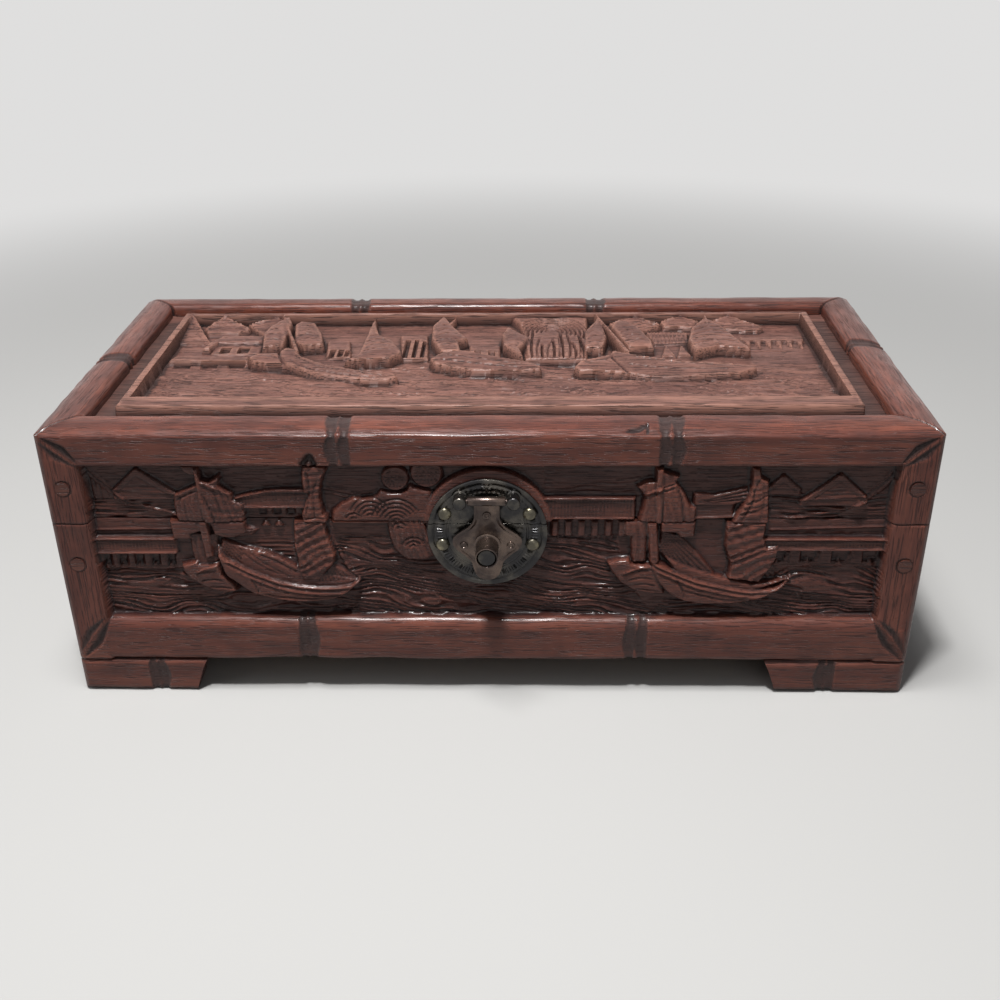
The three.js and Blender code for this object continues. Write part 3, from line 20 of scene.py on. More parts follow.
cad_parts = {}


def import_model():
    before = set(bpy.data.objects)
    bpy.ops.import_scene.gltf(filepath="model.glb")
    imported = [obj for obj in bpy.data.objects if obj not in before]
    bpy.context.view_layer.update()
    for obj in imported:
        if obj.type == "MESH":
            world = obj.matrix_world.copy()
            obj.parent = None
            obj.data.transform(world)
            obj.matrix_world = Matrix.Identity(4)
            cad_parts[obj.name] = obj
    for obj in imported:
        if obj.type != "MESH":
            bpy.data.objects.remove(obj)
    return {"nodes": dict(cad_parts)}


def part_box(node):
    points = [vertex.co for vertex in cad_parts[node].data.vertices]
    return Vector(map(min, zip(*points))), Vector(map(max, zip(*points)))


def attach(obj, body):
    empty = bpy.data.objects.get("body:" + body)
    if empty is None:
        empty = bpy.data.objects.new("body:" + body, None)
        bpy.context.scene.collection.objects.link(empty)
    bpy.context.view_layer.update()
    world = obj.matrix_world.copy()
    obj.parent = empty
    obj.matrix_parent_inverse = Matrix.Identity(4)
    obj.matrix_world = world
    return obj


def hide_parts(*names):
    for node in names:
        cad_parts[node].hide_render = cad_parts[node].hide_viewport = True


LOG = logging.getLogger("treasure_box")
MM = 0.001
Array = np.ndarray
Piece = bpy.types.Object
Socket = bpy.types.NodeSocket
Point = tuple[float, float]
Place = tuple[float, float, float]
Colour = tuple[float, float, float]
Outline = Sequence[Point]
Placing = Callable[[Outline], Outline]
Cut = Callable[[Array, Array], Array]


# Drawing help


def between(a: float, b: float, c: float, d: float, t: float) -> float:
    """Gives the value a share t of the way from b to c on a smooth curve through a, b, c and d."""
    return 0.5 * (2 * b + (c - a) * t + (2 * a - 5 * b + 4 * c - d) * t * t + (3 * b - a - 3 * c + d)
        * t**3)


def bend(*points: Point, steps: int = 6) -> list[Point]:
    """Draws a flowing open curve through points.

    Args:
        points: Where the curve passes, in order.
        steps: Pieces that each span is divided into.

    Returns:
        The points of the curve, its two ends included.
    """
    path = [points[0], *points, points[-1]]
    curve: list[Point] = []
    for before, start, end, after in zip(path, path[1:], path[2:], path[3:]):
        for i in range(steps):
            curve.append(tuple(between(*axis, i / steps) for axis in zip(before, start, end, after)))
    return [*curve, points[-1]]


def circle(x: float, z: float, radius: float, corners: int = 32) -> list[Point]:
    """Returns the corners of a round outline."""
    turns = [2 * math.pi * i / corners for i in range(corners)]
    return [(x + radius * math.cos(t), z + radius * math.sin(t)) for t in turns]


def rectangle(x_low: float, x_high: float, z_low: float, z_high: float) -> list[Point]:
    """Returns the corners of an upright rectangle."""
    return [(x_low, z_low), (x_high, z_low), (x_high, z_high), (x_low, z_high)]


def drift(x: Array, z: Array, scale: float, seed: int) -> Array:
    """Gives a smooth uneven field, the same on each run.

    Args:
        x: First coordinate of each place, in mm.
        z: Second coordinate of each place, in mm.
        scale: Distance over which the field changes, in mm.
        seed: Number of the pattern.

    Returns:
        Values between -1 and 1.
    """
    lattice = np.random.default_rng(seed % 1000).uniform(-1, 1, (97, 97))
    u, v = np.asarray(x) / scale, np.asarray(z) / scale
    column, row = np.floor(u).astype(int), np.floor(v).astype(int)
    s, t = u - column, v - row
    s, t = s * s * (3 - 2 * s), t * t * (3 - 2 * t)
    corner = [lattice[(row + j) % 97, (column + i) % 97] for j in (0, 1) for i in (0, 1)]
    low = corner[0] * (1 - s) + corner[1] * s
    high = corner[2] * (1 - s) + corner[3] * s
    return low * (1 - t) + high * t


def unit(values: Array) -> Array:
    """Keeps values between 0 and 1."""
    return np.clip(values, 0, 1)


def ridge(away: Array, width: float, top: float = 1.0) -> Array:
    """Gives a strength from 0 to 1 that falls from top with the distance from a line."""
    return unit(top - np.abs(away) / width)


def fall(t: Array) -> Array:
    """Gives how far a round shoulder lies below its top, from 1 at its edge to 0."""
    return 1 - np.sqrt(t * (2 - t))


def edge_distance(x: Array, z: Array, outline: Outline) -> Array:
    """Measures how far each place is from a closed outline.

    Args:
        x: First coordinate of each place.
        z: Second coordinate of each place.
        outline: The outline's corners.

    Returns:
        The distances, positive inside.
    """
    nearest = np.full(x.shape, np.inf)
    inside = np.zeros(x.shape, bool)
    for (ax, az), (bx, bz) in zip(outline, [*outline[1:], outline[0]]):
        dx, dz = bx - ax, bz - az
        t = unit(((x - ax) * dx + (z - az) * dz) / (dx * dx + dz * dz + 1e-12))
        nearest = np.minimum(nearest, (x - ax - t * dx) ** 2 + (z - az - t * dz) ** 2)
        if dz:
            inside ^= ((az > z) != (bz > z)) & (x < ax + (z - az) * dx / dz)
    return np.where(inside, 1, -1) * np.sqrt(nearest)


def blurred(values: Array, reaches: tuple[int, int]) -> Array:
    """Averages each value with its neighbours in both directions, twice over."""
    for axis in (0, 1, 0, 1):
        reach = reaches[axis]
        pads = [(reach + 1, reach) if i == axis else (0, 0) for i in (0, 1)]
        sums = np.cumsum(np.pad(values, pads, mode="edge"), axis=axis)
        ahead = np.take(sums, range(2 * reach + 1, sums.shape[axis]), axis=axis)
        behind = np.take(sums, range(sums.shape[axis] - 2 * reach - 1), axis=axis)
        values = (ahead - behind) / (2 * reach + 1)
    return values


@dataclass
class Relief:
    """A carver's sheet: a height in mm at each crossing of its columns and rows.

    Height 0 is the face of the rails. Figures are given by their height above the carved ground.
    """

    across: Array
    up: Array
    ground: float

    def __post_init__(self) -> None:
        """Starts the sheet flat, at its ground."""
        self.x, self.z = np.meshgrid(self.across, self.up)
        self.height = np.full(self.x.shape, self.ground)
        self.stain = np.zeros(self.x.shape)

    def near(self, points: Outline, margin: float) -> tuple[tuple[slice, slice], Array, Array]:
        """Finds the crossings that lie around some points.

        Args:
            points: The points.
            margin: How far round them it looks.

        Returns:
            The rows and columns, and the crossings' two coordinates.
        """
        xs = [p[0] for p in points]
        zs = [p[1] for p in points]
        columns = np.searchsorted(self.across, (min(xs) - margin, max(xs) + margin))
        rows = np.searchsorted(self.up, (min(zs) - margin, max(zs) + margin))
        here = slice(*rows), slice(*columns)
        return here, self.x[here], self.z[here]

    def lift(self, outline: Outline, top: float, shoulder: float = 0.8, crown: float = 0.0,
            tilt: Point = (0.0, 0.0)) -> None:
        """Leaves a figure standing, with rounded shoulders.

        Args:
            outline: The figure's edge.
            top: Its height above the ground.
            shoulder: Width of the rounding at its edge.
            crown: How much higher its middle stands.
            tilt: Rise per mm in each direction, about the middle of the outline.
        """
        here, x, z = self.near(outline, 0.5)
        inward = edge_distance(x, z, outline)
        t = unit((inward + 0.25) / shoulder)
        middle = np.mean(np.asarray(outline), axis=0)
        value = top + crown * np.sin(unit(inward / inward.max(initial=1e-6)) * math.pi / 2)
        value += (x - middle[0]) * tilt[0] + (z - middle[1]) * tilt[1]
        value = self.ground + value * (t * (2 - t)) ** 0.7
        before = self.height[here]
        self.height[here] = np.where(inward > -0.25, np.maximum(before, value), before)

    def sink(self, outline: Outline, top: float, shoulder: float = 0.3) -> None:
        """Cuts an area down to a height above the ground, with a steep edge.

        Args:
            outline: The area.
            top: The height.
            shoulder: Width of the edge.
        """
        window, x, z = self.near(outline, 0.5)
        t = unit(edge_distance(x, z, outline) / shoulder)
        here = self.height[window]
        floor = np.minimum(here, self.ground + top)
        self.height[window] = here + (floor - here) * t

    def cut(self, path: Outline, width: float, depth: float, fade: float = 0.0, stain: float = 0.0) -> None:
        """Draws a gouge along a path, or a bead where the depth is negative.

        Args:
            path: The points that the tool passes.
            width: Full width of the cut.
            depth: Its depth in the middle.
            fade: Length over which the cut narrows and runs out at each end.
            stain: How dark the cut is stained.
        """
        here, x, z = self.near(path, width)
        nearest = np.full(x.shape, np.inf)
        along = np.zeros(x.shape)
        run = 0.0
        for (ax, az), (bx, bz) in zip(path, path[1:]):
            dx, dz = bx - ax, bz - az
            length = math.hypot(dx, dz) + 1e-9
            t = unit(((x - ax) * dx + (z - az) * dz) / length**2)
            away = np.hypot(x - ax - t * dx, z - az - t * dz)
            closer = away < nearest
            nearest = np.where(closer, away, nearest)
            along = np.where(closer, run + t * length, along)
            run += length
        ease = np.clip(np.minimum(along, run - along) / fade, 0.001, 1) if fade else 1.0
        strength = unit(1 - nearest / (width / 2 * ease**0.6))
        strength *= (strength * (3 - 2 * strength) * 0.5 + 0.5) * ease**0.5
        self.height[here] -= depth * strength
        if stain:
            self.stain[here] = np.maximum(self.stain[here], unit(strength * 2.5) * stain)

    def hatch(self, outline: Outline, lean: float, pitch: float, depth: float, seed: int = 1,
            broken: float = 0.6) -> None:
        """Fills an area with rows of hand-cut lines.

        Args:
            outline: The area.
            lean: Direction of the lines in degrees from the X axis.
            pitch: Distance from line to line.
            depth: Depth of the cuts.
            seed: Number of the pattern.
            broken: How much the lines come and go, from 0 to 1.
        """
        window, x, z = self.near(outline, 0)
        c, s = math.cos(math.radians(lean)), math.sin(math.radians(lean))
        along, over = x * c + z * s, z * c - x * s
        phase = over / pitch + 0.45 * drift(along, over * 2, 9, seed)
        line = np.floor(phase)
        groove = unit(1.2 - np.abs(phase - line - 0.5) * 2.6)
        coming = drift(along, line * 53.7, 7, seed + 5) + 0.75 - broken
        inside = unit(edge_distance(x, z, outline) / 0.7)
        strength = unit(coming * 2.5) * broken + (1 - broken)
        self.height[window] -= depth * groove * strength * inside

    def fan(self, centre: Point, outline: Outline, count: int, depth: float) -> None:
        """Cuts lines that spread from a point, within an outline.

        Args:
            centre: The point.
            outline: The outline.
            count: Lines in a full turn.
            depth: Their depth.
        """
        window, x, z = self.near(outline, 0)
        turn = np.arctan2(z - centre[1], x - centre[0]) * count / (2 * math.pi)
        groove = unit(1.2 - np.abs(turn - np.floor(turn) - 0.5) * 3.6)
        inside = unit(edge_distance(x, z, outline) / 0.6)
        self.height[window] -= depth * groove * inside

    def water(self, outline: Outline, lean: float, seed: int, pitch: float = 1.6,
            depth: float = 0.8) -> None:
        """Covers an area with long wave lines that part and close like plaits, over a slow swell.

        Args:
            outline: The area.
            lean: How far the lines fall to the right, in degrees.
            seed: Number of the pattern.
            pitch: Distance from line to line.
            depth: Depth of the furrows.
        """
        here, x, z = self.near(outline, 0)
        c, s = math.cos(math.radians(-lean)), math.sin(math.radians(-lean))
        along, over = x * c + z * s, z * c - x * s
        warp = 2.5 * drift(along, over * 2.5, 15, seed) + 0.75 * drift(along, over * 2.2, 6.5, seed + 1)
        phase = (over + warp) / pitch
        line = np.floor(phase)
        furrow = 1 - np.abs(2 * (phase - line) - 1) ** 1.4
        coming = np.clip(drift(along, line * 41.3, 9, seed + 2) * 1.6 + 1.05, 0.25, 1)
        swell = drift(along + 40, (over + 0.8 * warp) * 2.3, 13, seed + 3)
        inside = unit(edge_distance(x, z, outline) / 0.8)
        self.height[here] += (0.75 * swell + 0.2 - depth * 1.5 * furrow * coming) * inside

    def roughen(self, depth: float, scale: float, seed: int) -> None:
        """Leaves the small unevenness of hand tools all over."""
        self.height += depth * drift(self.x, self.z, scale, seed)
        self.height += 0.5 * depth * drift(self.x + 31, self.z, scale * 0.37, seed + 1)

    def worn(self) -> Array:
        """Works out the marks of age on the sheet, and the painted shade of its hollows.

        Returns:
            Three layers over the sheet: hollow, which is dirt and painted shade, proud edge and stain, each
                from 0 to 1.
        """
        steps = [float(np.median(np.diff(marks))) for marks in (self.up, self.across)]
        near = blurred(self.height, tuple(max(1, round(0.7 / s)) for s in steps)) - self.height
        far = blurred(self.height, tuple(max(2, round(3.0 / s)) for s in steps)) - self.height
        # Darker in the hollows and deeper below the rail face: dirt and painted shade.
        hollow = unit(near * 1.8) * 0.6 + unit(far * 0.3) * 0.45
        hollow += np.clip(-self.height / 9, 0, 0.45) if self.ground < 0 else 0.0
        proud = unit(-near * 1.6) * 0.75
        return np.stack([unit(hollow), proud, self.stain], axis=-1)


# The harbour scenes


@dataclass(frozen=True)
class Figure:
    """A raised figure: its outline, its height above the ground and its rise to the right and upward."""

    outline: Outline
    top: float
    slope: Point = (0.0, 0.0)
    shoulder: float = 0.9
    crown: float = 0.3

    def carve(self, sheet: Relief, place: Placing) -> None:
        """Leaves the figure standing at its place."""
        sheet.lift(place(self.outline), self.top, self.shoulder, self.crown, self.slope)


@dataclass(frozen=True)
class Stroke:
    """A flowing gouge, or a bead where its depth is negative."""

    path: Outline
    depth: float = 0.8
    width: float = 1.1
    fade: float = 1.2

    def carve(self, sheet: Relief, place: Placing) -> None:
        """Cuts the stroke at its place."""
        sheet.cut(bend(*place(self.path)), self.width, self.depth, self.fade)


@dataclass(frozen=True)
class Hatch:
    """An area filled with hand-cut lines."""

    outline: Outline
    lean: float
    pitch: float = 2.2
    depth: float = 0.45
    broken: float = 0.5

    def carve(self, sheet: Relief, place: Placing) -> None:
        """Cuts the lines at their place."""
        sheet.hatch(place(self.outline), self.lean, self.pitch, self.depth, 11, self.broken)


@dataclass(frozen=True)
class Fan:
    """An area filled with lines that spread from a point."""

    centre: Point
    outline: Outline
    count: int = 100
    depth: float = 0.5

    def carve(self, sheet: Relief, place: Placing) -> None:
        """Cuts the lines at their place."""
        sheet.fan(place([self.centre])[0], place(self.outline), self.count, self.depth)


AFT_SAIL = [(50.4, 82.9), (53.5, 85), (56.9, 85.4), (57.7, 69), (51.2, 69), (52.6, 75.6), (52.8, 80.4)]
MAIN_SAIL = [(59, 83), (63.3, 84.8), (66.1, 80.8), (68.5, 75.9), (70.6, 75.2), (70.6, 69), (59.4, 69)]
FORE_SAIL = [(88.1, 90.6), (90.8, 90.2), (91.6, 86.7), (94, 85.3), (95.4, 69), (82.5, 69), (85.7, 75.1),
    (87.7, 79.5), (88.7, 83.8)]
FORE_FOOT = [(81.3, 70.8), (94.9, 70.8), (94.4, 64), (95.6, 59.5), (99.6, 60.3), (99.4, 55.7), (98.1, 52.6),
    (94.2, 46), (83.3, 47.4), (84, 52.6), (81.8, 59.5)]
STERN = [(41.4, 53.4), (45.3, 54.6), (48.6, 55), (49.7, 53.2), (56.8, 52.7), (59.6, 46.1), (61.9, 40.9),
    (55.9, 41.3), (51.2, 42.1), (46.4, 45.2), (42.9, 49.9)]
GUNWALE = [(55.9, 56.4), (58.5, 54), (65.2, 50.6), (72.1, 47.5), (78.8, 45.6), (85.6, 44), (92.3, 43),
    (101.2, 44), (105.3, 47.7)]
BILGE = [(105.1, 47), (102.8, 44), (100.3, 42.2), (97.1, 40.3), (92.7, 38.4), (86.1, 37.3), (79.4, 37),
    (72.7, 37.3), (67.3, 38.8), (62.4, 42), (58.8, 46.7), (56.6, 51.3)]
STAY_FOOT = [(59.5, 66), (66.1, 63.6), (73.1, 56.1), (78.9, 48.4), (72.2, 49.1), (61.3, 54.9), (58.6, 58)]
JUNK_ABOVE = (Figure(AFT_SAIL, 2.9, (0.1, 0)), Figure(MAIN_SAIL, 3.3, (-0.07, 0)),
    Hatch(MAIN_SAIL, -84, 2.4, 0.4), Hatch(AFT_SAIL, 86, 2.0, 0.35),
    Figure([(56.5, 90.6), (59, 90.2), (59.4, 69), (57.1, 69)], 4.0, crown=0.2),
    Figure([(59, 89), (64.6, 87), (63.3, 84.7), (58.9, 83.1)], 2.9, (-0.1, 0)),
    Stroke([(50.8, 79.7), (57.1, 82.4), (63.8, 85.2)], -0.7, 1.3),
    Stroke([(51.2, 78.1), (57, 80.8), (63.6, 83.4)]), Stroke([(52.9, 80), (52.9, 75.6), (52, 69.8)]),
    Stroke([(63.6, 83.6), (65.6, 78), (66.6, 69.4)]), Figure(FORE_SAIL, 3.6, (0.02, 0)),
    Stroke([(91.2, 86.8), (89.8, 83), (89, 77), (86, 70.4)]),
    Stroke([(84.8, 72.4), (89, 74), (95, 76.6)], 0.6), Stroke([(86.6, 76.6), (90.6, 78.4), (95, 81)], 0.6),
    Stroke([(92.4, 85), (92.8, 78), (92.4, 70)], 0.45), Hatch(FORE_SAIL, 14, 2.3, 0.35))
JUNK_BELOW = (Figure([(46.8, 70.8), (54.6, 70.8), (54.8, 53.7), (50, 53.7), (48.9, 63.6), (47, 64.4)], 2.5),
    Hatch([(46.8, 70.8), (54.6, 70.8), (54.8, 53.7), (50, 53.7)], 88, 2.2, 0.5), Figure(STAY_FOOT, 1.7),
    Fan((50, 77), STAY_FOOT, 130, 0.55), Figure([(58.8, 70.8), (70.9, 70.8), (70.8, 64), (65.9, 63.6),
    (64.5, 65.5), (59.1, 65.9)], 3.0, (-0.05, 0)), Figure(STERN, 3.0, (0.03, 0.05)),
    Stroke([(46.6, 49.3), (51.4, 51.6), (56.6, 52.6)], -0.6),
    Stroke([(46.4, 48.2), (51.4, 50.4), (56.8, 51.2)]),
    Stroke([(48.6, 46.6), (53, 47.8), (57.6, 47.4)], 0.6),
    Stroke([(50.6, 44.8), (54.6, 45.2), (58.6, 44.4)], 0.7),
    Stroke([(52.4, 43), (56, 42.6), (60.4, 41.9)], 0.5),
    Figure([(54.3, 70.8), (57.7, 70.8), (59.2, 54), (55.9, 54)], 3.8, crown=0.2),
    Figure([(61.1, 56), (70.7, 51.4), (79.6, 48.2), (92, 45), (104, 46.6), (92, 42), (81, 43), (65.4, 49)],
    2.7), Figure([*bend(*GUNWALE), *bend(*BILGE)], 4.1, (0, 0.05), 1.3),
    Stroke([(x, z - 0.5) for x, z in GUNWALE[:-1]], -0.55, 1.0),
    Stroke([(x, z - 1.6) for x, z in GUNWALE[:-1]]),
    Stroke([(x, z - 2.8) for x, z in GUNWALE[1:-1]], -0.35, 0.9),
    Stroke([(x, z - 3.6) for x, z in GUNWALE[1:-2]]),
    Stroke([(67.8, 43.3), (75.8, 40.9), (82.6, 39.3), (93, 38.9)], 0.8),
    Stroke([(65.2, 48), (67.6, 43.7), (68.4, 39.4)]),
    Fan((88, 60), [(94.7, 43.8), (95.5, 48.9), (98.8, 53), (104.2, 46.4)], 60, 0.45),
    Figure(FORE_FOOT, 3.6, (0.02, 0)), Hatch(FORE_FOOT, 24, 3.1, 0.7, 0.35),
    Hatch(FORE_FOOT, -62, 3.7, 0.3))
LEFT_AFT = [(-106.5, 79.3), (-105.9, 80.1), (-101.5, 82), (-98.4, 83.6), (-94.6, 74.2), (-94.1, 68.8),
    (-106.1, 68.8), (-106.6, 72.1), (-106.9, 75.2)]
LEFT_MAIN = [(-97.5, 86.1), (-93.8, 84.9), (-90, 87.3), (-90.6, 83.8), (-89, 82), (-86.7, 80.5),
    (-86.6, 77.8), (-83.1, 76.5), (-83.3, 74.3), (-83, 72.5), (-83.3, 68.8), (-94, 68.8), (-94.7, 74.3),
    (-96.7, 80.5)]
LEFT_FORE = [(-61.7, 91), (-54.1, 91), (-53.7, 89.2), (-54.8, 87.2), (-55.9, 83.6), (-56.5, 79.1),
    (-55.9, 72.9), (-54.6, 71.8), (-54.8, 68.6), (-63.1, 68.6), (-63.2, 72.9), (-60.3, 80.6), (-62, 81.1),
    (-62.3, 85.7)]
LEFT_FOOT = [(-66.2, 70.8), (-56.3, 70.8), (-54.9, 62.9), (-53, 56.5), (-53.8, 53.2), (-59.4, 46.6),
    (-64.6, 46.4), (-66.3, 51.6), (-66.2, 55.4), (-67, 59.7)]
LEFT_GUNWALE = [(-93.5, 60), (-91.3, 56.1), (-87.8, 53.9), (-83.4, 51.2), (-78.5, 48.8), (-74, 46.9),
    (-67.1, 45.1), (-60.1, 44.3), (-53, 44.4), (-48.2, 45.3), (-45, 46.8)]
LEFT_BILGE = [(-45.3, 45.5), (-49.4, 41.6), (-53.3, 39.1), (-58.2, 38), (-65.4, 37.4), (-72.4, 37.9),
    (-78, 39.3), (-83.5, 41.3), (-88.7, 45.7), (-92.1, 49), (-93.1, 52.8), (-94, 56.6)]
LEFT_STERN = [(-107.3, 52.2), (-101.6, 53.8), (-101.3, 52.5), (-94.2, 53), (-93.4, 48.4), (-90, 45.1),
    (-88.9, 41.7), (-93.3, 40.9), (-97.9, 42.3), (-101.5, 44.2), (-104.9, 46.7), (-106.9, 49.5)]
LEFT_ABOVE = (Figure([(-102.9, 91), (-97.8, 91), (-98.2, 87.9), (-99.9, 87.5), (-101.8, 88.9)], 2.7,
    shoulder=0.6), Figure(LEFT_AFT, 2.9, (0.06, 0)), Figure(LEFT_MAIN, 3.4, (-0.06, 0)),
    Hatch(LEFT_AFT, 88, 1.9, 0.5), Hatch(LEFT_MAIN, -78, 2.2, 0.5), Hatch(LEFT_MAIN, 5, 3.2, 0.3),
    Figure([(-98.4, 90.5), (-96.9, 90.5), (-95.9, 81), (-94, 74), (-93.4, 68.8), (-96.8, 68.8),
    (-97.8, 76)], 3.9), Stroke([(-106.3, 79.3), (-101.5, 82), (-97.8, 83.6)], -0.7, 1.2),
    Stroke([(-106, 77.8), (-101.4, 80.4), (-98.2, 81.6)]),
    Stroke([(-96.6, 85.4), (-93.6, 84), (-90.6, 82.5), (-86.7, 80.2)], -0.7, 1.3),
    Stroke([(-95.8, 83.6), (-90.6, 80.4)]), Stroke([(-96.4, 81), (-94.6, 75), (-93.2, 69.4)]),
    Stroke([(-92, 80), (-91, 74), (-91.6, 69.4)], 0.6), Figure(LEFT_FORE, 3.6),
    Stroke([(-61.2, 89.6), (-61, 82)], -0.6), Stroke([(-54.8, 89.4), (-56.4, 85.6)], -0.6),
    Stroke([(-60.6, 90), (-59.8, 81), (-62.2, 72)]), Stroke([(-57, 86), (-58.8, 80), (-58.6, 70)], 0.6),
    Stroke([(-62.4, 71), (-58.6, 71.6), (-55, 71.4)], 0.6), Hatch(LEFT_FORE, 6, 2.2, 0.4))
LEFT_BELOW = (Figure([(-109.5, 70.8), (-96, 70.8), (-96.3, 66.5), (-102.5, 64.6), (-102.8, 62.5),
    (-108.8, 62.7)], 2.6), Figure([(-103, 64.4), (-93.7, 64.4), (-94.5, 53.6), (-98.5, 51.4), (-102.6, 53),
    (-103.3, 58.4)], 1.7, (0.06, 0)), Hatch([(-103, 64.4), (-93.7, 64.4), (-94.5, 53.6), (-102.6, 53)], 86,
    2.0, 0.45), Figure([(-83.5, 67.6), (-79.2, 65.9), (-81.6, 63.8), (-87.3, 62.6)], 1.3),
    Stroke([(-84, 64.2), (-79.6, 65.6)], 0.5), Figure([(-96, 70.8), (-83, 70.8), (-83.4, 65.2),
    (-86.9, 63.6), (-90.6, 63.3), (-94.2, 64.6)], 2.9),
    Figure([(-99.4, 70.8), (-96.2, 70.8), (-95.4, 56), (-98.4, 55)], 3.2, crown=0.2),
    Figure(LEFT_STERN, 3.0, (0.03, 0.05)), Stroke([(-102.6, 49.6), (-98.8, 51.3), (-94.6, 52.3)], -0.6),
    Stroke([(-102.8, 48.4), (-98.8, 49.8), (-94.8, 50.4)]),
    Stroke([(-101.4, 45.6), (-97, 46.8), (-93.2, 46)]),
    Stroke([(-98.8, 43.4), (-94, 43.6), (-90, 42.9)], 0.7), Stroke([(-95.6, 42), (-91.6, 41.8)], 0.5),
    Figure([(-92, 62.3), (-84.7, 59.3), (-77.4, 57.5), (-72, 54.8), (-66.7, 51.5), (-64.6, 43.6),
    (-72, 44.6), (-77.5, 46.4), (-83.7, 50.2), (-89, 53.6), (-93.2, 58)], 2.4, (-0.01, -0.04)),
    Stroke([(-80, 56.6), (-74, 53.8), (-66.4, 49)], 0.6),
    Stroke([(-86, 58), (-80, 52.6), (-73, 48.6)], 0.35),
    Stroke([(-83, 57.4), (-77, 52.4), (-69, 47.4)], 0.35),
    Figure([(-67, 51), (-45.6, 46.4), (-52, 43), (-66, 43)], 2.4),
    Fan((-100, 74), [(-92, 62.3), (-84.7, 59.3), (-86, 52.6), (-93, 57)], 110, 0.5),
    Figure([*bend(*LEFT_GUNWALE), *bend(*LEFT_BILGE)], 4.0, (0, 0.05), 1.3),
    Stroke([(x, z - 0.6) for x, z in LEFT_GUNWALE[:-1]], -0.55, 1.0),
    Stroke([(x, z - 1.8) for x, z in LEFT_GUNWALE[1:-1]]),
    Stroke([(x, z - 3) for x, z in LEFT_GUNWALE[2:-1]], -0.35, 0.9),
    Stroke([(x, z - 3.9) for x, z in LEFT_GUNWALE[3:-1]]),
    Stroke([(-79.2, 41.2), (-72.2, 39.9), (-65.2, 39.2), (-54.8, 39.2)]),
    Stroke([(-83, 48), (-81.6, 44), (-81, 41.2)]),
    Figure([(-56, 53), (-50.1, 49.7), (-46, 46.4), (-60, 45)], 1.6),
    Fan((-62, 64), [(-58, 53), (-50, 49.7), (-46, 46), (-60, 45)], 90),
    Stroke([(-55.9, 67), (-52.3, 58.3), (-48.7, 50.1), (-45.5, 46.6)], -0.8, 1.4),
    Figure(LEFT_FOOT, 3.6, (0.02, 0)), Hatch(LEFT_FOOT, 26, 3.2, 0.75, 0.35),
    Hatch(LEFT_FOOT, -58, 3.9, 0.35), Figure([(-77.8, 67.2), (-74.9, 67.2), (-76.2, 69.6)], 1.2,
    shoulder=0.6), Figure([(-73.2, 67.2), (-70.4, 67.2), (-71.8, 69.6)], 1.2, shoulder=0.6),
    Hatch([(-81, 62), (-68, 62), (-68, 53), (-81, 57)], 2, 1.7, 0.6, 0.6))


# Height of the keels, and a height that only a lid's sheet starts above
KEEL = 37.0
LID_START = 60.0


def carve_marks(sheet: Relief, above: Sequence, below: Sequence, x: float = 0.0, z: float = 0.0,
        grow: float = 1.0) -> None:
    """Carves the marks of the sheet's own side of the saw.

    Args:
        sheet: The sheet.
        above: Marks above the saw.
        below: Marks below it.
        x: How far they are moved along.
        z: How far they are moved up.
        grow: How much they are grown about the keel.
    """

    def placed(points: Outline) -> Outline:
        """Grows an outline about the keel and moves it."""
        return [(x + px * grow, z + KEEL + (pz - KEEL) * grow) for px, pz in points]

    for mark in above if sheet.up[0] > LID_START else below:
        mark.carve(sheet, placed)


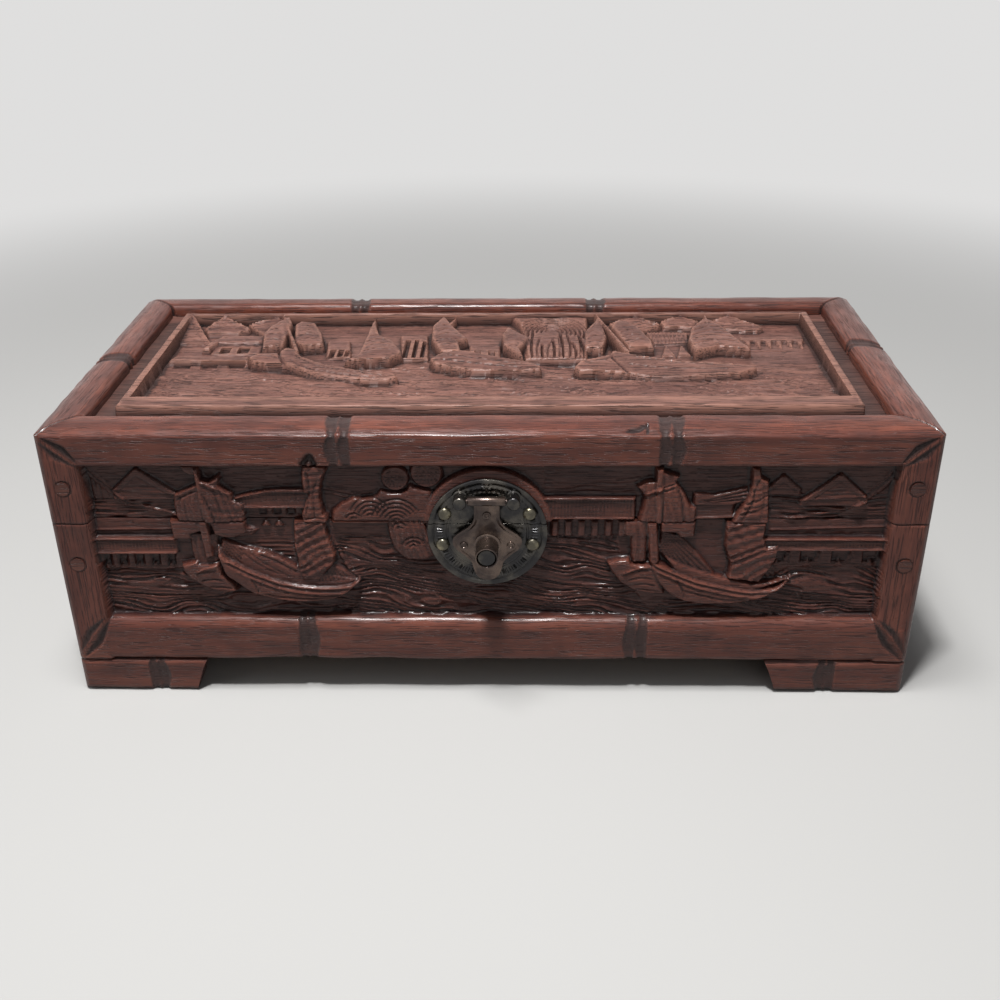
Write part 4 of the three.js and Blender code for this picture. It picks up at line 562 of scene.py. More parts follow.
@dataclass(frozen=True)
class Harbour:
    """The parts of a harbour that the scenes share, cut into one sheet."""

    sheet: Relief

    def peak(self, apex: Point, left: Point, right: Point, top: float = 1.8, seed: int = 2) -> None:
        """Carves a mountain: a smooth face, a beaded ridge and hatching at its foot.

        Args:
            apex: Its top.
            left: Its left foot.
            right: Its right foot.
            top: Height above the ground.
            seed: Number of the hatching.
        """
        drop = min(left[1], right[1])
        foot = [left, apex, right, (right[0], drop - 2), (left[0], drop - 2)]
        self.sheet.lift(foot, top - 0.5, 0.6)
        self.sheet.lift([left, apex, right], top, 0.7, tilt=(0, -0.03))
        self.sheet.cut([left, apex, right], 1.2, -0.45)
        inner = [((p[0] * 0.82 + apex[0] * 0.18), p[1] * 0.9 + apex[1] * 0.1 - 1.7) for p in (left, right)]
        self.sheet.cut([inner[0], (apex[0], apex[1] - 2.6), inner[1]], 0.9, 0.35)
        self.sheet.hatch([left, (apex[0], apex[1] - 4), right], 2, 1.9, 0.3, seed, 0.5)

    def sky(self, x_low: float, x_high: float, z_low: float, z_high: float, seed: int,
            depth: float = 0.95) -> None:
        """Cuts the short level strokes of a sky or of a far shore."""
        self.sheet.hatch(rectangle(x_low, x_high, z_low, z_high), 1.0, 1.6, depth, seed, 0.7)

    def wharf(self, x_low: float, x_high: float, deck: float, roof: float, bays: int, legs: float) -> None:
        """Carves a wharf house: eaves, a slatted wall, and dark bays between its piles.

        Args:
            x_low: Its left end.
            x_high: Its right end.
            deck: Height of the deck.
            roof: Height of the eaves.
            bays: Number of bays.
            legs: Length of the piles.
        """
        sheet = self.sheet
        sheet.lift(rectangle(x_low, x_high, deck, roof), 1.9, 0.5)
        sheet.hatch(rectangle(x_low, x_high, deck + 1, roof - 1), 90, 1.25, 0.4, 8, 0.15)
        for z in (roof - 0.4, deck + 0.4):
            sheet.cut([(x_low, z), (x_high, z)], 1.1, -0.7)
        sheet.cut([(x_low, roof - 1.5), (x_high, roof - 1.5)], 0.8, 0.5)
        bay = (x_high - x_low) / bays
        for i in range(bays):
            start = x_low + bay * (i + 0.22)
            dark = [(start, deck - legs), (start + bay * 0.5, deck - legs),
                (start + bay * 0.62, deck - 0.4), (start - bay * 0.06, deck - 0.4)]
            sheet.sink(dark, -1.1)
            sheet.lift(rectangle(start - bay * 0.34, start - bay * 0.02, deck - legs, deck), 0.9, 0.4)
            foot = start + bay * 0.25
            tooth = [(foot - 1.1, deck - legs - 1), (foot + 1.1, deck - legs - 1), (foot, deck - legs + 1)]
            sheet.lift(tooth, 0.7, 0.4)

    def bridge(self, eaves: Outline, wall_low: float, bays: int, places: Point) -> None:
        """Carves a covered bridge: its bowed roof, a slatted wall under it and the arches below.

        Args:
            eaves: The line of its eaves.
            wall_low: Height of the foot of its wall.
            bays: Number of arches.
            places: Where the first arch starts, and the distance from arch to arch.
        """
        x_low, x_high = eaves[0][0], eaves[-1][0]
        roof = [*eaves, (x_high, wall_low), (x_low + 2, wall_low)]
        sheet = self.sheet
        sheet.lift(roof, 1.9, 0.5)
        sheet.hatch(roof, 90, 1.15, 0.42, 9, 0.15)
        sheet.cut(eaves, 1.5, -0.9)
        sheet.cut([(x, z - 1.6) for x, z in eaves], 0.9, 0.5)
        sheet.cut([(x_low + 1, wall_low), (x_high, wall_low)], 1.1, -0.8)
        width = places[1]
        for i in range(bays):
            start = places[0] + i * width
            arch = [(start, wall_low - 4.2), (start + width * 0.66, wall_low - 4.2),
                *bend((start + width * 0.66, wall_low - 1.8), (start + width * 0.33, wall_low - 0.7),
                (start, wall_low - 1.8))]
            sheet.sink(arch, -1.2)

    def crown_tree(self, x: float, z: float, radius: float) -> None:
        """Carves a round tree crown with spreading cuts."""
        outline = circle(x, z, radius)
        self.sheet.lift(outline, 2.2, 0.9)
        self.sheet.fan((x, z + radius * 0.35), circle(x, z, radius * 0.86), 24, 0.45)
        self.sheet.cut([*outline, outline[0]], 0.8, 0.3)

    def scholar_rock(self, outline: Outline, eyes: Sequence[tuple[Point, int]]) -> None:
        """Carves rock and leaves as nests of curved cuts round some points, each with its number of cuts."""
        self.sheet.lift(outline, 2.3, shoulder=1.2, crown=0.6)
        for (x, z), rings in eyes:
            for ring in range(1, rings + 1):
                arc = [(x + ring * 1.45 * math.cos(math.radians(a)),
                    z + ring * 1.5 * math.sin(math.radians(a))) for a in range(25, 170, 14)]
                self.sheet.cut(arc, 1.1, 0.8, 1.2)


class WallScene(Enum):
    """Which scene a wall carries."""

    FRONT = "front"
    BACK = "back"
    END = "end"

    def carve(self, sheet: Relief) -> None:
        """Cuts the scene into a sheet, whole; the saw parts it."""
        {"front": carve_front, "back": carve_back, "end": carve_end}[self.value](sheet)


def carve_front(sheet: Relief) -> None:
    """Carves the two junks, the bridge, trees and wharves of the front."""
    harbour = Harbour(sheet)
    harbour.sky(-137, -104, 69, 77.5, 21)
    harbour.sky(-86, -62, 84, 91, 22, 0.3)
    harbour.sky(-54, -36, 82, 91, 23, 0.3)
    harbour.sky(19, 52, 79.4, 91, 24, 0.45)
    harbour.sky(70, 88, 84, 90, 25, 0.4)
    harbour.sky(95.5, 137, 69, 79.4, 26)
    sheet.water([(-138, 28), (-46, 28), (-46, 47), (-100, 47), (-107, 50), (-138, 50.4)], 2, 31)
    sheet.water([(-60, 28), (60, 28), (50, 44), (44, 62), (22, 63), (-28, 63), (-50, 64), (-56, 56),
        (-46, 46)], 9, 33)
    sheet.water([(54, 28), (138, 28), (138, 51), (104, 51), (90, 38), (62, 38)], 7, 34)
    harbour.peak((-118.5, 89.4), (-127, 81.4), (-105, 79.6), seed=41)
    for path in ([(-138, 92), (-132.4, 86.2), (-122.4, 76.2), (-106.5, 71.2)],
            [(-136, 87.6), (-124, 75.4)]):
        sheet.cut(path, 1.4, -0.9)
    sheet.hatch([(-137, 90), (-137, 76), (-123, 76)], 90, 1.9, 0.4, 44)
    harbour.peak((99.3, 87), (94.4, 82.4), (105.2, 81.6), seed=42)
    harbour.peak((118.3, 87.4), (105.7, 77.3), (127.8, 78.6), seed=43)
    sheet.cut(bend((137.4, 87), (130.9, 80.2), (123.9, 75), (112.7, 72), (100.1, 69.4)), 2.2, -1.0, 2)
    sheet.cut([(137.4, 89.6), (131.5, 83), (126.6, 79)], 1.2, -0.6)
    harbour.wharf(-137, -108.5, 56.6, 62.9, 5, 5.6)
    harbour.wharf(94.9, 138.1, 58.2, 63, 4, 5.6)
    for path in ([(-137, 65.4), (-109, 65.8)], [(97, 65.6), (137, 67)]):
        sheet.cut(path, 1.1, -0.7)
    eaves = bend((-86, 78.6), (-80.7, 80), (-75.1, 81.1), (-68.6, 81.6), (-62, 81.6), (-54.8, 81.5),
        (-45, 79.3))
    harbour.bridge(eaves[:26], 75, 3, (-78.9, 4.9))
    sheet.cut(eaves[26:], 1.5, -0.8)
    sheet.cut([(-53, 79.6), (-47, 78.2)], 1.4, -0.7, 1)
    harbour.bridge([(19, 78.6), (50, 78.5)], 70.6, 0, (0, 1))
    for x in range(6):
        sheet.lift(rectangle(22 + x * 4.6, 24 + x * 4.6, 63.4, 69), 1.4, 0.6)
    sheet.hatch(rectangle(22, 46, 60.6, 63.6), 90, 2.4, 0.7, 28, 0.4)
    sheet.lift([(70, 80.2), (76.6, 79.6), (87.6, 82.4), (88, 78), (82.7, 75.6), (70, 75.6)], 1.8, 0.8)
    sheet.fan((66.4, 75.8), [(70, 77), (87.5, 82.2), (88, 76.4)], 90, 0.8)
    sheet.lift([(70, 75.6), (83.4, 75.6), (83.4, 70.6), (70, 70.6)], 1.3, 0.6)
    sheet.cut([(71, 70.8), (83.8, 71.4)], 1.2, -0.8)
    rock = [(-53.4, 68.8), (-52.9, 73.4), (-49.8, 76.3), (-45.4, 78.7), (-41.5, 78.2), (-37.5, 79.3),
        (-36.1, 81.5), (-33.6, 80.6), (-28.7, 80.6), (-27.1, 81.5), (-26, 83.7), (-24.8, 82.6),
        (-18.7, 81.1), (-20, 68.8)]
    harbour.scholar_rock(rock, [((-39.8, 71.4), 5), ((-31, 69.4), 6), ((-45.6, 70), 2)])
    trunk = [(-34.3, 70.8), (-21.2, 70.8), (-18.3, 56.1), (-21.7, 54.3), (-28.4, 54.3), (-32.2, 58),
        (-33.9, 63.8)]
    harbour.scholar_rock(trunk, [((-30, 66), 2), ((-25.6, 59), 3)])
    sheet.hatch(trunk, -74, 2.1, 0.6, 29, 0.4)
    harbour.crown_tree(-30.9, 86, 4.6)
    harbour.crown_tree(-20.2, 88, 5.4)
    carve_marks(sheet, LEFT_ABOVE, LEFT_BELOW)
    carve_marks(sheet, JUNK_ABOVE, JUNK_BELOW)


def carve_back(sheet: Relief) -> None:
    """Carves the back's scene, in the manner of the front."""
    harbour = Harbour(sheet)
    harbour.sky(-100, -46, 76, 91, 51, 0.4)
    harbour.sky(20, 100, 76, 91, 52, 0.4)
    sheet.water([(-138, 28), (138, 28), (138, 51), (104, 52), (96, 62), (-96, 62), (-104, 52), (-138, 51)],
        6, 53)
    harbour.peak((-118, 89), (-130, 77.6), (-106, 77.6), seed=56)
    harbour.peak((112, 89), (99, 77.6), (125, 77.6), seed=57)
    harbour.wharf(-136, -104, 57, 65.4, 5, 6.2)
    harbour.wharf(104, 136, 57, 65.4, 5, 6.2)
    carve_marks(sheet, JUNK_ABOVE, JUNK_BELOW, -92)
    carve_marks(sheet, JUNK_ABOVE, JUNK_BELOW, -8, 0.8, 0.86)


def carve_end(sheet: Relief) -> None:
    """Carves the short scene of the two ends."""
    harbour = Harbour(sheet)
    harbour.sky(-56, 56, 78, 91, 61, 0.4)
    sheet.water([(-58, 28), (58, 28), (58, 52), (32, 52), (26, 62), (-34, 62), (-58, 60)], 5, 62)
    harbour.peak((-43, 88), (-55, 77.6), (-31, 77.6), seed=65)
    harbour.peak((42, 88), (30, 77.6), (54, 77.6), seed=66)
    harbour.wharf(31, 57, 57, 65.4, 4, 6)
    carve_marks(sheet, JUNK_ABOVE, JUNK_BELOW, -76)


LID_HILLS = (Figure([(-126, 47), (-126, 24), (-112, 22.5), (-117, 32), (-124, 47)], 2.6, (0, 0.14)),
    Figure([(-118, 37), (-113, 47), (-110.5, 47), (-99.5, 37), (-104, 33), (-116, 33)], 2.8, (0, 0.15)),
    Figure([(-101, 41), (-92, 47), (-88, 47), (-84, 38), (-92, 31)], 2.8, (0, 0.14)),
    Figure([(47, 41), (56, 47), (60, 47), (68, 40), (60, 35), (50, 37)], 2.8, (0, 0.15)),
    Figure([(68, 43), (74, 47), (79, 47), (85, 41), (82, 38), (69, 39)], 2.8, (0, 0.15)),
    Figure([(88, 43), (94, 47), (98, 47), (109, 38), (106, 35), (90, 37)], 2.8, (0, 0.15)))
LID_HOUSES = (Figure([(-110, 12), (-91, 12), (-91, 22), (-110, 22)], 1.0),
    Figure([(-113.5, 14.5), (-112, 22), (-108.5, 28.5), (-92, 28.5), (-91, 21.5), (-109, 21), (-111, 14.5)],
    2.5), Figure([(-124, 3), (-122, 8.5), (-93.5, 7), (-93.5, 2.5)], 1.9),
    Figure([(-66, 25), (-57, 25), (-54.5, 7), (-64, 8)], 1.5),
    Figure([(-37.4, 31), (-26.4, 31), (-24.4, 4.5), (-34.4, 5)], 1.7),
    Figure([(-9, 20), (3, 20), (3, 6), (-9, 6)], 1.3),
    Figure([(61.5, 34), (78, 34), (77, 22.3), (63.5, 22)], 1.5),
    Figure([(98, 29), (123, 30), (123, 25.5), (98, 25)], 1.3))
LID_SAILS = (Figure([(-91.8, 27), (-90.4, 35), (-84.6, 46), (-82, 38), (-81.4, 14), (-85, 12.6),
    (-89.4, 11.6)], 4.2, (0, 0.02)), Figure([(-81, 37), (-79.4, 41.4), (-73, 39.6), (-68.2, 27),
    (-65.9, 14.8), (-73.3, 13.2), (-77.8, 17)], 3.9),
    Figure([(-55.8, -3), (-51.2, 3.6), (-50.4, 16), (-49.9, 31), (-48.8, 47), (-47.2, 34), (-44.8, 24),
    (-39.6, 19), (-35.2, 9), (-34.4, 4.4), (-39, 0.2), (-49.6, -1)], 4.1, (0, 0.02)),
    Figure([(-20.8, 46.6), (-24.8, 34), (-24.2, 20), (-19.6, 6.6), (-11.8, 7.6), (-13.4, 18), (-9.6, 20.4),
    (-15.8, 33)], 4.1, (0, 0.02)), Figure([(5.6, 34), (3.4, 23), (4.4, 12), (8.8, 3.4), (12.2, 1.2),
    (10.6, 9), (11.8, 12.4), (14.6, 20.5), (10.6, 26)], 4.3),
    Figure([(43, 46.6), (40.4, 38), (36.4, 28), (35.6, 11.2), (42.6, 9.8), (45, 22)], 4.1, (0, 0.02)),
    Figure([(47.2, 34), (48.8, 40.4), (53.8, 41.4), (58, 34.4), (62.2, 19), (62.4, 11.6), (52.6, 11)], 3.9),
    Figure([(86, 45), (79, 32), (76.4, 19), (77.6, 6.4), (87.3, 11.2), (99.4, 8.6), (96, 18.7), (91.2, 36)],
    4.1))
LID_HULLS = (Figure([(-92.6, 0), (-88.6, 3.6), (-81.6, 3.6), (-79.6, 7.6), (-76.4, 7.3), (-71.8, 0.6),
    (-62, -5.2), (-46, -10.4), (-35.4, -12.4), (-34.2, -14.8), (-38, -17), (-46.8, -16.8), (-62, -13.8),
    (-70, -9.8), (-76, -6), (-79, -5), (-84, -5), (-90.4, -3)], 3.5, (0, 0.14)),
    Figure([(-23.4, -1), (-18.9, 4.2), (-11.5, 6), (0, 1.8), (13.5, -3), (18.6, -6.4), (18.6, -9.4),
    (9, -10.6), (-6.8, -10), (-14, -7.4), (-21.6, -4.8)], 3.6, (0, 0.13)),
    Figure([(30.8, -8.4), (33.6, -3), (43.4, 0.7), (46.2, 4.6), (52.9, 1.8), (69.3, -2.8), (86.8, -4.8),
    (98.2, -7.4), (98.6, -9.6), (91.5, -12.8), (70.2, -15.6), (58, -15.2), (50.4, -12.8), (42, -11.2),
    (33, -10.7)], 3.5, (0, 0.14)))
LID_MASTS = (([(-87.4, 47), (-80.6, 26), (-74.4, 4)], 5.2), ([(-16, 47), (-18, 40)], 3.0),
    ([(41.4, 47), (45.4, 27), (51.6, 3.6)], 5.2), ([(86, 45), (86.6, 12)], 4.9))
BANYAN = Figure([(7, 47), (10.5, 40), (12, 30), (12.6, 2), (36.4, 2), (37.4, 22), (38.4, 47)], 3.2,
    (0, 0.02))


def carve_lid(sheet: Relief) -> None:
    """Carves the lid's field: three boats under the shore, with the banyan between them."""
    harbour = Harbour(sheet)
    sheet.water([(-125, -39), (125, -39), (125, 2), (-125, 2)], 14, 71, 2.6, 0.42)
    for hill in LID_HILLS:
        sheet.lift(hill.outline, hill.top, 0.7, 0.2, hill.slope)
        edge = sorted(hill.outline, key=lambda p: -p[1])[:2]
        apex = ((edge[0][0] + edge[1][0]) / 2, 46.5)
        foot = [p for p in hill.outline if p[1] < 44]
        for x, y in (min(foot), max(foot)):
            sheet.cut([(x, y), apex], 1.3, -0.5)
            sheet.cut([(x * 0.8 + apex[0] * 0.2, y), (apex[0], apex[1] - 4)], 1.0, 0.4, 1.0)
        sheet.hatch(hill.outline, 10, 2.4, 0.6, 72, 0.6)
    for house in LID_HOUSES:
        sheet.lift(house.outline, house.top, 0.8, 0.0)
    for outline in (*(rectangle(x, x + 6.6, -0.6, 2.6) for x in (-122, -111.4, -100.8)),
            rectangle(-63, -61, 8, 15), rectangle(-60, -58, 8, 15), rectangle(-57, -55.6, 8, 14.4),
            rectangle(-34.8, -32.8, 6, 25), rectangle(-31, -29.6, 6, 25), rectangle(-27.8, -26.4, 6, 24),
            rectangle(-7, -4.6, 7, 14), rectangle(-1.6, 1, 7, 14), rectangle(-107, -103, 12.6, 19),
            rectangle(-100, -95.6, 12.6, 19)):
        sheet.sink(outline, -0.9)
    sheet.hatch([(61.5, 34), (78, 34), (77, 22.3), (63.5, 22)], 90, 1.5, 0.45, 73, 0.3)
    for x in (65.5, 71.5):
        sheet.lift([(x, 9), (x + 5, 9), (x + 2.5, 21)], 1.2, 0.5)
    for i in range(6):
        x = 99.4 + i * 4.1
        sheet.lift([(x, 25.6), (x + 2.4, 25.6), (x + 1.2, 18.6)], 1.1, 0.5)
    sheet.cut([(-112, 31), (-84, 31)], 1.0, 0.4, 2)
    sheet.cut([(86, 15), (123, 16.5)], 1.2, 0.4, 4)
    carve_banyan(sheet)
    for sail in LID_SAILS:
        sheet.lift(sail.outline, sail.top, 0.8, 0.9, sail.slope)
    for x_low, x_high, y, count in ((-51, -38, 6, 5), (77, 97, 13, 6), (-90.5, -83, 18, 4),
            (-78, -69, 18, 4), (-23.5, -14, 12, 5), (36.5, 43, 15, 4), (49, 60, 16, 4)):
        for i in range(count):
            bow = (x_high - x_low) * 0.2
            path = bend((x_low + i * 0.7, y + i * 5.2), ((x_low + x_high) / 2, y + i * 5.2 + bow * 0.9),
                (x_high - i * 1.7, y + i * 5.2 + bow * 0.6))
            sheet.cut(path, 1.3, 0.8, 1.0)
    for hull in LID_HULLS:
        sheet.lift(hull.outline, hull.top, 0.8, 0.5, hull.slope)
    for path, top in LID_MASTS:
        (ax, ay), (bx, by) = path[0], path[-1]
        mast = [(ax - 0.5, ay), (ax + 0.5, ay), (bx + 1.0, by), (bx - 1.0, by)]
        sheet.lift(mast, top, 0.6)
    lines = (bend((-75, 1.5), (-66, -6), (-52, -11), (-38, -14)),
        bend((-76.4, -2), (-68, -8.6), (-54, -13.2), (-42, -15.4)), bend((-17, 2), (-6, -1), (12, -5.4)),
        bend((-19, -1.6), (-6, -5), (12, -7.8)), bend((53, 0), (70, -4.6), (92, -7)),
        bend((50, -6), (66, -9.6), (88, -10)), bend((-90, 0.6), (-84, 0.8), (-80.6, -1.4)),
        bend((34, -5), (42, -3), (46, -6)))
    for path in lines:
        sheet.cut(path, 1.3, 0.9, 1.5)
    for path in (bend((-81.4, 4.6), (-80, -1), (-77, -6.4)), bend((44.8, 4), (46, -3), (51, -12.6))):
        sheet.cut(path, 1.8, 1.1, 1.0)


def carve_banyan(sheet: Relief) -> None:
    """Carves the banyan: nested arcs for its crown, and the hanging roots below."""
    sheet.lift(BANYAN.outline, BANYAN.top, 1.4, 0.5, BANYAN.slope)
    for ring in range(8):
        radius = 2.6 + ring * 1.75
        arc = [(23.4 + radius * math.cos(math.radians(a)), 29 + radius * 1.12 * math.sin(math.radians(a)))
            for a in range(-25, 201, 12)]
        sheet.cut(arc, 1.5, 1.2, 2.0)
    roots = random.Random(8)
    for i in range(12):
        x = 13.8 + i * 1.98 + roots.uniform(-0.4, 0.4)
        top = 25 + roots.uniform(-8, 5)
        path = bend((x, 2.6), (x + roots.uniform(-0.8, 0.8), top * 0.5),
            (x + roots.uniform(-1.2, 1.2), top))
        sheet.cut(path, 1.3, roots.uniform(0.8, 1.9), 2.5)


# Swept wooden pieces


class Side(Enum):
    """A side of the box, with its turn about Z from the front in degrees."""

    FRONT = ("front", 0, WallScene.FRONT, ((-49.0, 2.35), (61.0, 2.35)), ((-64.8, 1.7), (52.2, 2.35)))
    RIGHT = ("right", 90, WallScene.END, ((10.0, 2.2),), ((-6.0, 2.2),))
    BACK = ("back", 180, WallScene.BACK, ((-42.0, 2.2), (57.0, 2.2)), ((-58.0, 1.8), (50.0, 2.3)))
    LEFT = ("left", -90, WallScene.END, ((3.0, 2.2),), ((8.0, 2.2),))

    def __init__(self, word: str, turn: int, scene: WallScene, top_nodes: tuple[Point, ...],
            low_nodes: tuple[Point, ...]) -> None:
        """Keeps the side's name, turn, scene and the places of its bamboo nodes."""
        self.word = word
        self.turn = turn
        self.scene = scene
        self.top_nodes = top_nodes
        self.low_nodes = low_nodes

    @property
    def long(self) -> bool:
        """Tells whether this is one of the two long sides."""
        return self.turn % 180 == 0


@dataclass(frozen=True)
class Case:
    """The main planes of the closed box, in mm, read from the frame."""

    half_length: float
    front: float
    back: float
    top: float
    base_top: float
    lid_bottom: float
    foot_top: float

    @classmethod
    def from_frame(cls) -> "Case":
        """Reads the planes from the front and back walls' corners."""
        base_low, base_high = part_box("base_front_wall")
        lid_low, lid_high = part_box("lid_front_wall")
        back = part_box("base_back_wall")[1].y
        return cls(half_length=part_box("base_right_wall")[1].x / MM, front=base_low.y / MM, back=back / MM,
            top=lid_high.z / MM, base_top=base_high.z / MM, lid_bottom=lid_low.z / MM,
            foot_top=base_low.z / MM)

    @property
    def middle(self) -> float:
        """Returns the Y of the box's middle."""
        return (self.front + self.back) / 2

    @property
    def half_depth(self) -> float:
        """Returns half the box's depth."""
        return (self.back - self.front) / 2

    def half(self, side: Side) -> float:
        """Returns half the length of a side."""
        return self.half_length if side.long else self.half_depth

    def place(self, side: Side, x: Array, depth: Array, z: Array) -> Array:
        """Turns places on a side into the part's frame.

        Args:
            side: The side.
            x: Places along it, seen from outside, in mm.
            depth: Places inward from its outer face, in mm.
            z: Heights, in mm.

        Returns:
            Points in metres, with a last axis of three.
        """
        reach = self.half_depth if side.long else self.half_length
        turn = math.radians(side.turn)
        y = depth - reach
        world_x = x * math.cos(turn) - y * math.sin(turn)
        world_y = x * math.sin(turn) + y * math.cos(turn) + self.middle
        return np.stack([world_x, world_y, z], axis=-1) * MM


@dataclass
class Section:
    """A closed section, row by row: where each row lies and which way it faces.

    The first rows carry a relief. run is the relief's own upward scale, which starts as the height and goes
    on over the rail's top as a length.
    """

    depth: list[float] = field(default_factory=list)
    up: list[float] = field(default_factory=list)
    out_depth: list[float] = field(default_factory=list)
    out_up: list[float] = field(default_factory=list)
    run: list[float] = field(default_factory=list)
    sharp: set[int] = field(default_factory=set)
    carved: int = 0

    def _add(self, depth: float, up: float, normal: Point) -> None:
        """Adds one row."""
        if self.depth:
            self.run.append(self.run[-1] + math.hypot(depth - self.depth[-1], up - self.up[-1]))
        else:
            self.run.append(up)
        self.depth.append(depth)
        self.up.append(up)
        self.out_depth.append(normal[0])
        self.out_up.append(normal[1])

    def straight(self, start: Point, end: Point, step: float, normal: Point) -> "Section":
        """Adds rows from start to end, leaving out the start where a row is there already.

        Args:
            start: Depth and height of the start.
            end: The same of the end.
            step: Distance from row to row.
            normal: Which way the rows face.

        Returns:
            The section.
        """
        count = max(1, round(math.hypot(end[0] - start[0], end[1] - start[1]) / step))
        for i in range(1 if self.depth else 0, count + 1):
            t = i / count
            self._add(start[0] + (end[0] - start[0]) * t, start[1] + (end[1] - start[1]) * t, normal)
        return self

    def arc(self, centre: Point, radius: float, start: float, end: float, step: float) -> "Section":
        """Adds rows round a rounding, from one angle in degrees to another.

        Args:
            centre: The rounding's centre.
            radius: Its radius.
            start: The first angle.
            end: The last one.
            step: Distance from row to row.

        Returns:
            The section.
        """
        count = max(3, round(radius * math.radians(abs(end - start)) / step))
        for i in range(1, count + 1):
            angle = math.radians(start + (end - start) * i / count)
            normal = (math.cos(angle), math.sin(angle))
            self._add(centre[0] + radius * normal[0], centre[1] + radius * normal[1], normal)
        return self

    def curve(self, points: Outline) -> "Section":
        """Adds rows along a curve that leads on from the last row."""
        for before, here in zip(points, points[1:]):
            run = math.dist(before, here)
            self._add(here[0], here[1], ((before[1] - here[1]) / run, (here[0] - before[0]) / run))
        return self

    def close(self, *corners: Point) -> "Section":
        """Ends the carved rows, and adds the plain corners that close the section."""
        self.carved = len(self.depth)
        self.sharp.update((0, self.carved - 1))
        for depth, up in corners:
            self.sharp.add(len(self.depth))
            self._add(depth, up, (0.0, 0.0))
        return self


def mesh_object(name: str, points: Array, faces: Iterable[Sequence[int]]) -> Piece:
    """Makes a mesh object from points and faces, with its faces outward.

    Args:
        name: The piece's name.
        points: Points in metres.
        faces: Corner numbers of each face.

    Returns:
        The new object, in the scene's collection.
    """
    mesh = bpy.data.meshes.new(name)
    mesh.from_pydata(points.reshape(-1, 3).tolist(), [], [list(f) for f in faces])
    mesh.update()
    item = bpy.data.objects.new(name, mesh)
    bpy.context.scene.collection.objects.link(item)
    if signed_volume(mesh) < 0:
        mesh.flip_normals()
    return item


def signed_volume(mesh: bpy.types.Mesh) -> float:
    """Returns a closed mesh's volume, negative where its faces point inward."""
    mesh.calc_loop_triangles()
    corners = np.empty(len(mesh.loop_triangles) * 3, int)
    mesh.loop_triangles.foreach_get("vertices", corners)
    points = np.empty(len(mesh.vertices) * 3)
    mesh.vertices.foreach_get("co", points)
    a, b, c = points.reshape(-1, 3)[corners].reshape(-1, 3, 3).transpose(1, 0, 2)
    return float(np.einsum("ij,ij->i", a, np.cross(b, c)).sum())


def give_vectors(item: Piece, name: str, values: Array) -> None:
    """Stores three numbers for each point of a mesh under an attribute's name."""
    layer = item.data.attributes.new(name, "FLOAT_VECTOR", "POINT")
    layer.data.foreach_set("vector", values.astype(np.float32).ravel())


